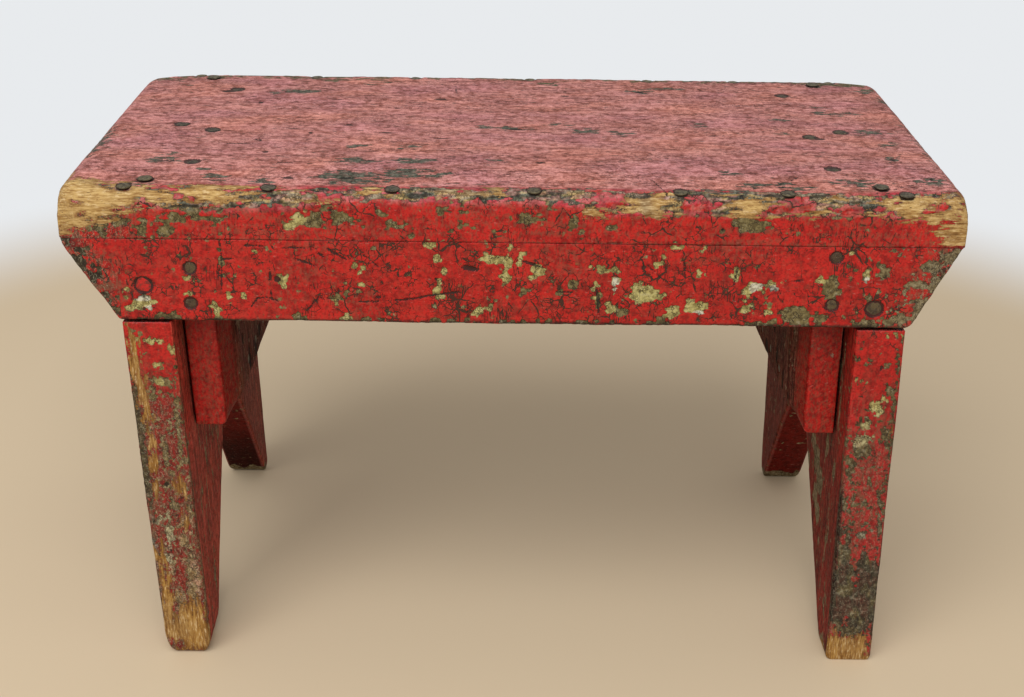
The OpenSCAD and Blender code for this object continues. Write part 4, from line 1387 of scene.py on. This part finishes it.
def leg_wear(points, inwards, side, sizes, colours):
    """Levels and colours of a leg: worn front edge, bare front foot, dull inner face, painted shade
    inside the notch and painted light on the left inner face.
    """
    y, z = points[..., 1], points[..., 2]
    low, high = node_box("left_leg")
    thick = sizes["leg_thickness"] / 2
    left = side == LEFT
    across = inwards + thick if left else thick - inwards
    front = y < low[1] + 3.2
    bares, khakis, olives, reds, holes = LEG_MARKS[side]

    def flakes(marks, size, spread, seed):
        return flaked(across, z, size, lambda u, v: oval_level(marks, u, v), spread, seed + side)

    held = flakes(reds, (1.4, 2.2), 0.9, 82)
    chip = np.minimum(flakes(khakis + olives, (1.2, 1.5), 0.9, 80), -held)
    bare = flakes(bares, (1.1, 5 if left else 2.4), 0.8, 84)
    bare = np.minimum(np.where(z > 155, np.minimum(bare, 0.4), bare), -held)
    inside, outside = inwards > thick - 0.6, inwards < -thick + 0.6
    drift = cloud(points, (4, 5, 26), 86 + side, 2)
    arris = smooth(3.5, 0, np.abs(np.abs(inwards) - thick)) * smooth(5, 0, np.abs(np.abs(y) - high[1]))
    soles = 6 + 5 * cloud(points, (3, 3, 30), 88, 2) - z
    beside = inside * smooth(-80, -88, y) * smooth(30, 60, z)
    at_rear = 1.2 * (y > 40)
    shoulder = node_box("front_apron")[0][2]
    notch = (np.abs(inwards) < thick - 1.2) & (np.abs(y) < high[1] - 3) & (z < shoulder)
    other = drift * 3.2 - 1.45 + 1.3 * arris - 2.5 * beside - at_rear - 9 * notch
    other = np.maximum(other, FAR_OUTSIDE if left else oval_level(INNER_PATCHES, y, z))
    other = np.maximum(other, soles * 0.5)
    clean = 0 if left else 1.6 * smooth(138, 156, z)
    mark = np.where(front, oval_level(holes, across, z), FAR_OUTSIDE)
    covered = (z > shoulder - 1.2) & (np.abs(y) > high[1] - 21)
    low_down = (smooth(172, 132, z) if left else smooth(165, 110, z)) * front
    levels = {
        "chip": np.where(front, np.maximum(chip, drift * 2.5 - 1.8 + 1.1 * arris - clean), other),
        "bare": np.where(front, bare, np.where(y < 0, soles * 0.5 - 1.5 * inside, FAR_OUTSIDE)),
        "mark": np.maximum(mark, np.where(covered, z - shoulder + 0.4, FAR_OUTSIDE)),
        "weather": np.where(inside | outside, 0.75, 0.1),
        "wear": np.where(front, 0.05 - 0.03 * (clean > 0), 0.03) + 0.16 * low_down,
        "tan": 0.85,
        "shine": np.where(notch, 0.08, np.where(inside, 0.35, 1.0)),
        "grime": np.where(front, 0.15 + (0.75 if left else 0.58) * low_down, 0.35 - 0.3 * notch),
    }
    farther = smooth(low[1] + 4, low[1] + 34, y + 9 * cloud(points, (8, 12, 34), 95, 2))
    dulled = np.where(inside, 0.25 if left else 0.75, 0.7 * farther)
    coat = blend(
        colours.red,
        (colours.dull, dulled - 0.4 * beside * smooth(90, 120, z)),
        (colours.crimson, (0.1 if left else 0.3) * low_down),
        (colours.dull, (0.7 if left else 0.3) * low_down),
        (colours.grey_wood, 0.19 * inside * left),
        (colours.plum, 0.5 * inside * smooth(-20, 30, y)),
    )
    # Painted shade: the red inside the notch under the stool is darkened, the left leg's most near the
    # floor
    painted_shade = 0.12 + 0.36 * smooth(18, 60, z) if left else 0.55
    coat = coat * np.where(notch, painted_shade, 1.0)[..., None]
    # Painted light: the red on the left leg's inner face is made lighter
    coat = coat * np.where(inside & left, 1.22, 1.0)[..., None]
    light = smooth(-1.2, -0.2, oval_level(khakis, across, z)) * front
    foot_coat = (np.array(colours.grey_wood) + colours.amber) / 2 if left else colours.olive
    foot_share = np.maximum(0.75 * smooth(95, 75, z), 0.3 * smooth(160, 130, z) * left)
    outer_strip = smooth(4.6, 3.0, across) * front * left * smooth(40, 60, z) * smooth(166, 150, z)
    pale = light * smooth(150, 110, z)
    under = blend(
        colours.olive,
        (colours.khaki, light),
        (foot_coat, foot_share * (1 - light) * front),
        (colours.olive, 0.8 * outer_strip),
        (colours.dirt_and_shade, 0.6 * outer_strip),
        (colours.slate, 0.5 * front * (not left) * smooth(100, 60, z)),
        (colours.dirt_and_shade, 0.7 * front * (not left) * smooth(90, 60, z)),
        (colours.backdrop, 0.16 * pale),
        (colours.grey_wood, 0.3 * pale),
    )
    if left:
        dark_edge = smooth(2.2, 1.0, across) * smooth(42, 30, z) * smooth(6, 12, z)
    else:
        dark_edge = smooth(1.9, 0.9, across) * smooth(112, 98, z) * smooth(16, 26, z)
        tone = cloud(points, (4, 4, 7), 96, 3)
        low_mark = front * smooth(100, 70, z) * (1 - light)
        under = blend(
            under,
            (colours.olive, 0.6 * low_mark * smooth(0.02, 0.2, tone)),
            (colours.dull, 0.22 * low_mark * smooth(-0.1, -0.25, tone)),
            (colours.dirt_and_shade, 0.3 * front * (1 - light) * smooth(60, 90, z)),
        )
    pinkish = smooth(0.1, 0.2, cloud(points, (1.6, 1.6, 3), 94, 3)) * front * smooth(40, 70, 140 - z)
    darker = (colours.dirt_and_shade, 0.85 * dark_edge * front)
    faded = (colours.pink, 0.3 * pinkish * left)
    under = blend(under, darker, faded, (colours.grey_wood, np.where(front, 0.0, 0.45)))
    return levels, {"coat": blend(coat, darker), "under": under}


class STOOL_OT_legs(bpy.types.Operator):
    """Builds the two leg boards with their worn feet."""

    bl_idname = "stool.legs"
    bl_label = "Leg boards"

    def execute(self, context):
        sizes, colours = settings(context)
        material = old_paint("leg_paint", (1.0, 1.0, 0.04), colours, colours.amber, 0.35, sawn=0.8)
        for name, side in (("left_leg", LEFT), ("right_leg", RIGHT)):
            points, inwards = leg_skin(side, sizes)
            levels, coats = leg_wear(points, inwards, side, sizes, colours)
            depth = relief_of(points, levels, GRAIN_UPRIGHT, 24 + side, sizes["paint"])
            parts = pressed(points, depth * smooth(0, 3, points[..., 2])), levels, coats
            add_board(name, name, parts, material, "leg_paint")
        return {"FINISHED"}


def cleat_skin(side, sizes):
    """Cleat: its outline from above, with two slanting corners, carried up along Z.

    The lower inner edge is worn round by drawing the inner corners back with the height, and
    the edge next to the leg is cut back, most at the foot of the cleat.
    """
    low, high = node_box(CLEATS[side])
    total = node_box("seat_board")[0][2] - low[2]
    along, shrink = stations(total, 1.0, 1.3, 0.4, 6)
    back = sizes["leg_thickness"] / 2 + sizes["cleat_gap"]
    face = back + sizes["cleat_thickness"]
    draw = arc_inset(along, 1.3)
    bevel = sizes["cleat_bevel"]
    bevel = bevel * np.clip(1 - along / (bevel * 1.3), 0, 1) ** 1.7
    half = high[1] - draw
    inner = face - bevel - draw * 0.2
    cut_x = np.minimum(inner, face - sizes["cleat_cut_x"])
    cut_y = half - sizes["cleat_cut_y"]
    outer = back + draw * 0.5
    gape = 0.2 + 0.5 * (1 - along / total) if side == RIGHT else 0.5
    ring = rounded_ring(
        [(outer, -half), (cut_x, -half), (inner, -cut_y), (inner, cut_y), (cut_x, half), (outer, half)],
        [(3, gape), (1.2, 1.6), (2, 2), (2, 2), (1.6, 1.2), (1, 1)],
        [16, 18, 66, 12, 8, 40],
        [5, 4, 3, 3, 3, 3],
    )
    inwards, y = shrunk(ring, shrink)
    z = np.broadcast_to((low[2] + along)[:, None], y.shape)
    return np.stack([end_x(side, inwards, y, z, sizes), y, z], -1), inwards


def cleat_wear(points, inwards, side, sizes, colours):
    """Levels and colours of a cleat: red where it slants, old dull paint on its inner face, with
    painted shade on the slant, on the left cleat, under the apron and along the gap to the leg.
    """
    y, z = points[..., 1], points[..., 2]
    low, high = node_box(CLEATS[side])
    left = side == LEFT
    behind = inwards - sizes["leg_thickness"] / 2
    turn = high[1] - (15 if left else 11)
    inside = (behind > 14) * (1 - smooth(turn - 3, turn + 3, -y))
    drift = cloud(points, (3, 4, 24), 90 + side, 2)
    slots = np.where(inside > 0.5, oval_level(CLEAT_SLOTS[side], y, z), FAR_OUTSIDE)
    # Painted shade: a dark mark along the edge next to the leg, for the shade in the narrow gap between
    # them
    gap = 0.9 if left else 0.4 + 0.8 * smooth(high[2], low[2], z)
    levels = {
        "chip": np.where(inside > 0.5, drift * 3.0 - 1.2, drift * 1.6 - 2.4),
        "bare": np.where(inside > 0.5, drift * 2.0 - 2.3, FAR_OUTSIDE),
        "mark": np.maximum(slots, gap - behind),
        "weather": 0.9 * inside + 0.1,
        "wear": 0.015 + 0.05 * inside,
        "tan": 0,
        "shine": 0.9 - 0.75 * smooth(15, 16, behind),
        "brushed": 0.15 if left else 0.9,
        "grime": 0.4 + 0.1 * inside,
    }
    # Painted shade: the red is darker on the slanting face and on the whole left cleat
    painted_shade = 1 - 0.35 * smooth(15, 16, behind) * (1 - inside) - (0.12 if left else 0)
    # Painted shadow of the apron: the red is darker on the top of the cleat's face, just under the
    # apron
    painted_shade = painted_shade * (1 - 0.5 * smooth(9, 0, node_box("front_apron")[0][2] - z))
    streaks = smooth(0.0, 0.25, cloud(points, (1.5, 2.5, 14), 92 + side, 3))
    coat = blend(np.array(colours.red) * painted_shade[..., None], (colours.plum, 0.95 * inside))
    under = blend(colours.plum, (colours.grey_wood, 0.2 + 0.55 * streaks))
    return levels, {"coat": coat, "under": under}


class STOOL_OT_cleats(bpy.types.Operator):
    """Builds the two cleats with their slanting ends."""

    bl_idname = "stool.cleats"
    bl_label = "Cleats"

    def execute(self, context):
        sizes, colours = settings(context)
        grain, wood = (1.0, 1.0, 0.04), colours.grey_wood
        material = old_paint("cleat_paint", grain, colours, wood, 0.1, brushed=True, sawn=1.0)
        nails = nails_of("cleat_leg_nails")
        for side, name in CLEATS.items():
            points, inwards = cleat_skin(side, sizes)
            levels, coats = cleat_wear(points, inwards, side, sizes, colours)
            depth = relief_of(points, levels, GRAIN_UPRIGHT, 26 + side, sizes["paint"])
            near = [nail for nail in nails if nail[0][0] * side > 0]
            parts = pressed(points, depth), levels, coats
            add_board(name, name, parts, material, "cleat_paint", near)
        return {"FINISHED"}


def nail_skin(nails, seed):
    """Nails as closed grids: one profile turned round the axis of every nail.

    The profile runs from the middle of the head over its worn rim to the shank and the point.
    Sums of cosines make every rim a little uneven, and noise dents the heads.
    """
    shares_out = np.array([0.04, 0.3, 0.55, 0.75, 0.88, 0.96, 1, 0.99, 0.93])
    depths = np.array([0.05, 0.02, 0.04, 0.10, 0.20, 0.34, 0.55, 0.9, 1.2])
    rim = len(depths)
    turn = np.linspace(0, 2 * np.pi, 40, endpoint=False)
    tops, axes, radius, shank, reach = (np.array(values) for values in zip(*nails))
    tail = np.broadcast_arrays(1.35, 2.5, reach * 0.5, reach - 4, reach - 1.5, reach - 0.2)
    thin = np.array([1, 1, 1, 1, 0.55, 0.06])
    depth = np.concatenate([np.broadcast_to(depths, (len(nails), rim)), np.stack(tail, -1)], 1)
    out = np.concatenate([radius[:, None] * shares_out, shank[:, None] * thin], 1)
    helper = np.where(np.abs(axes[:, 2:]) > 0.7, [[1.0, 0, 0]], [[0, 0, 1.0]])
    first = np.cross(helper, axes)
    first /= np.linalg.norm(first, axis=1, keepdims=True)
    second = np.cross(axes, first)
    tops, axes, first, second = (value[:, None, None] for value in (tops, axes, first, second))
    number = np.arange(len(nails))[:, None, None]
    uneven = np.cos(2 * turn + 1.7 * number) * 0.03 + np.cos(3 * turn + 2.9 * number) * 0.025
    uneven = 0.945 + uneven * (np.arange(rim + 6) < rim)[:, None]
    spread = (out[..., None] * uneven)[..., None]
    around = np.cos(turn)[:, None] * first + np.sin(turn)[:, None] * second
    points = tops + spread * around - depth[..., None, None] * axes
    dent = 0.16 * (1 + cloud(points, 2.4, seed, 2)) * (np.arange(rim + 6) < rim - 2)[:, None]
    return points - dent[..., None] * axes


class STOOL_OT_nails(bpy.types.Operator):
    """Builds the nails on the places of their solids."""

    bl_idname = "stool.nails"
    bl_label = "Nails"

    def execute(self, context):
        sizes, colours = settings(context)
        metals = {
            "dark_nail": worn_metal("dark_metal", colours, colours.steel),
            "rusty_nail": worn_metal("rusty_metal", colours, colours.rust),
        }
        for number, node in enumerate(NAIL_NODES):
            nails = shown_nails(node, sizes)
            x, y, z = np.transpose([nail[0] for nail in nails])
            painted = 0.4 * lattice(np.arange(len(nails)), 1, 1, 60 + number) - 0.3
            ringed = (x < -150) & (y < -90) & (z < 205) & (z > 190) & (node == "apron_leg_nails")
            painted = np.where(ringed, 0.85, painted)
            levels = {"painted": painted[:, None, None], "grime": NAIL_GRIME.get(node, 0)}
            mesh = closed_mesh(node, nail_skin(nails, 100 + number), levels)
            slot = "rusty_nail" if node.startswith("apron") else "dark_nail"
            add_piece("worn_" + node, mesh, metals[slot], slot, node)
        return {"FINISHED"}


class STOOL_OT_stage(bpy.types.Operator):
    """Sets up the pale floor, the soft lamps and the camera."""

    bl_idname = "stool.stage"
    bl_label = "Stage"

    def execute(self, context):
        colours = context.scene.stool_colours
        add_floor(colours)
        add_light(colours)
        add_camera()
        context.scene.view_settings.view_transform = "Standard"
        return {"FINISHED"}


def add_floor(colours):
    """Square floor that fades into the backdrop with the distance from the stool."""
    mesh = bpy.data.meshes.new("floor")
    corners = [(x * FLOOR_REACH, y * FLOOR_REACH, 0) for x, y in ((-1, -1), (1, -1), (1, 1), (-1, 1))]
    mesh.from_pydata(corners, [], [(0, 1, 2, 3)])
    floor = bpy.data.objects.new("floor", mesh)
    bpy.context.scene.collection.objects.link(floor)
    g = Graph(bpy.data.materials.new("floor"))
    place = g.node("TexCoord").outputs["Object"]
    away = g.node("VectorMath", [(0, place)], operation="LENGTH").outputs["Value"]
    far = g.ramp(away, *FLOOR_FADE)
    shade = g.node("BsdfPrincipled", [("Base Color", rgba(colours.floor)), ("Roughness", 0.8)])
    glow = g.node("Emission", [("Color", rgba(colours.backdrop)), ("Strength", 1.0)])
    path = g.node("LightPath").outputs
    seen = g.most(*(path[f"Is {kind} Ray"] for kind in ("Camera", "Glossy", "Transmission")))
    pairs = [(0, g.mul(far, seen)), (1, shade.outputs[0]), (2, glow.outputs[0])]
    g.node("OutputMaterial", [("Surface", g.node("MixShader", pairs).outputs[0])])
    mesh.materials.append(g.owner)


def add_light(colours):
    """Even world light with a pale look to the camera, and one wide lamp above the front."""
    world = bpy.data.worlds.new("studio")
    bpy.context.scene.world = world
    g = Graph(world)
    path = g.node("LightPath").outputs
    seen = g.most(path["Is Camera Ray"], path["Is Transmission Ray"])
    back = g.node("Background", [("Color", rgba(colours.backdrop))]).outputs[0]
    light = [("Color", rgba((1.0, 0.99, 0.97))), ("Strength", WORLD_STRENGTH)]
    pairs = [(0, seen), (1, g.node("Background", light).outputs[0]), (2, back)]
    g.node("OutputWorld", [(0, g.node("MixShader", pairs).outputs[0])])
    lamp = bpy.data.lights.new("softbox", "AREA")
    lamp.shape = "RECTANGLE"
    lamp.size, lamp.size_y = LAMP_SIZE
    lamp.energy = LAMP_WATTS
    holder = bpy.data.objects.new("softbox", lamp)
    bpy.context.scene.collection.objects.link(holder)
    holder.location = LAMP_PLACE
    direction = (holder.location * -1).normalized()
    holder.rotation_euler = direction.to_track_quat("-Z", "Y").to_euler()


def add_camera():
    """Camera where the photograph's was, turned by its yaw, then its pitch, then its roll."""
    yaw, pitch, roll = CAMERA_TURN
    level = math.cos(pitch)
    forward = np.array([math.sin(yaw) * level, math.cos(yaw) * level, -math.sin(pitch)])
    right = np.array([math.cos(yaw), -math.sin(yaw), 0])
    up = np.cross(right, forward)
    c, s = math.cos(roll), math.sin(roll)
    data = bpy.data.cameras.new("camera")
    data.sensor_width = SENSOR_WIDTH
    data.lens = FOCAL_LENGTH
    data.clip_start, data.clip_end = 0.05, 20
    camera = bpy.data.objects.new("camera", data)
    bpy.context.scene.collection.objects.link(camera)
    turn = np.eye(4)
    turn[:3, :3] = np.stack([c * right + s * up, c * up - s * right, -forward], 1)
    turn[:3, 3] = np.array(CAMERA_PLACE) * MM
    camera.matrix_world = Matrix(turn.tolist())
    bpy.context.scene.camera = camera


class VIEW3D_PT_stool(bpy.types.Panel):
    """Lists the steps that build the stool, and its sizes and colours."""

    bl_idname = "VIEW3D_PT_stool"
    bl_label = "Milking stool"
    bl_space_type = "VIEW_3D"
    bl_region_type = "UI"
    bl_category = "Stool"

    def draw(self, context):
        layout = self.layout
        for operator in OPERATORS:
            layout.operator(operator.bl_idname)
        for group in (context.scene.stool_sizes, context.scene.stool_colours):
            column = layout.column()
            for name in group.__annotations__:
                column.prop(group, name)


OPERATORS = (
    STOOL_OT_seat,
    STOOL_OT_aprons,
    STOOL_OT_legs,
    STOOL_OT_cleats,
    STOOL_OT_nails,
    STOOL_OT_stage,
)
CLASSES = (StoolSizes, StoolColours, *OPERATORS, VIEW3D_PT_stool)


def register():
    """Registers the classes and hangs the settings on the scene."""
    for item in CLASSES:
        bpy.utils.register_class(item)
    bpy.types.Scene.stool_sizes = PointerProperty(type=StoolSizes)
    bpy.types.Scene.stool_colours = PointerProperty(type=StoolColours)


def unregister():
    """Takes the settings and the classes away again."""
    del bpy.types.Scene.stool_colours
    del bpy.types.Scene.stool_sizes
    for item in reversed(CLASSES):
        bpy.utils.unregister_class(item)


def main():
    """Builds the stool and its stage."""
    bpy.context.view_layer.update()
    register()
    bpy.ops.stool.seat()
    bpy.ops.stool.aprons()
    bpy.ops.stool.legs()
    bpy.ops.stool.cleats()
    bpy.ops.stool.nails()
    bpy.ops.stool.stage()


if __name__ == "__main__":
    main()
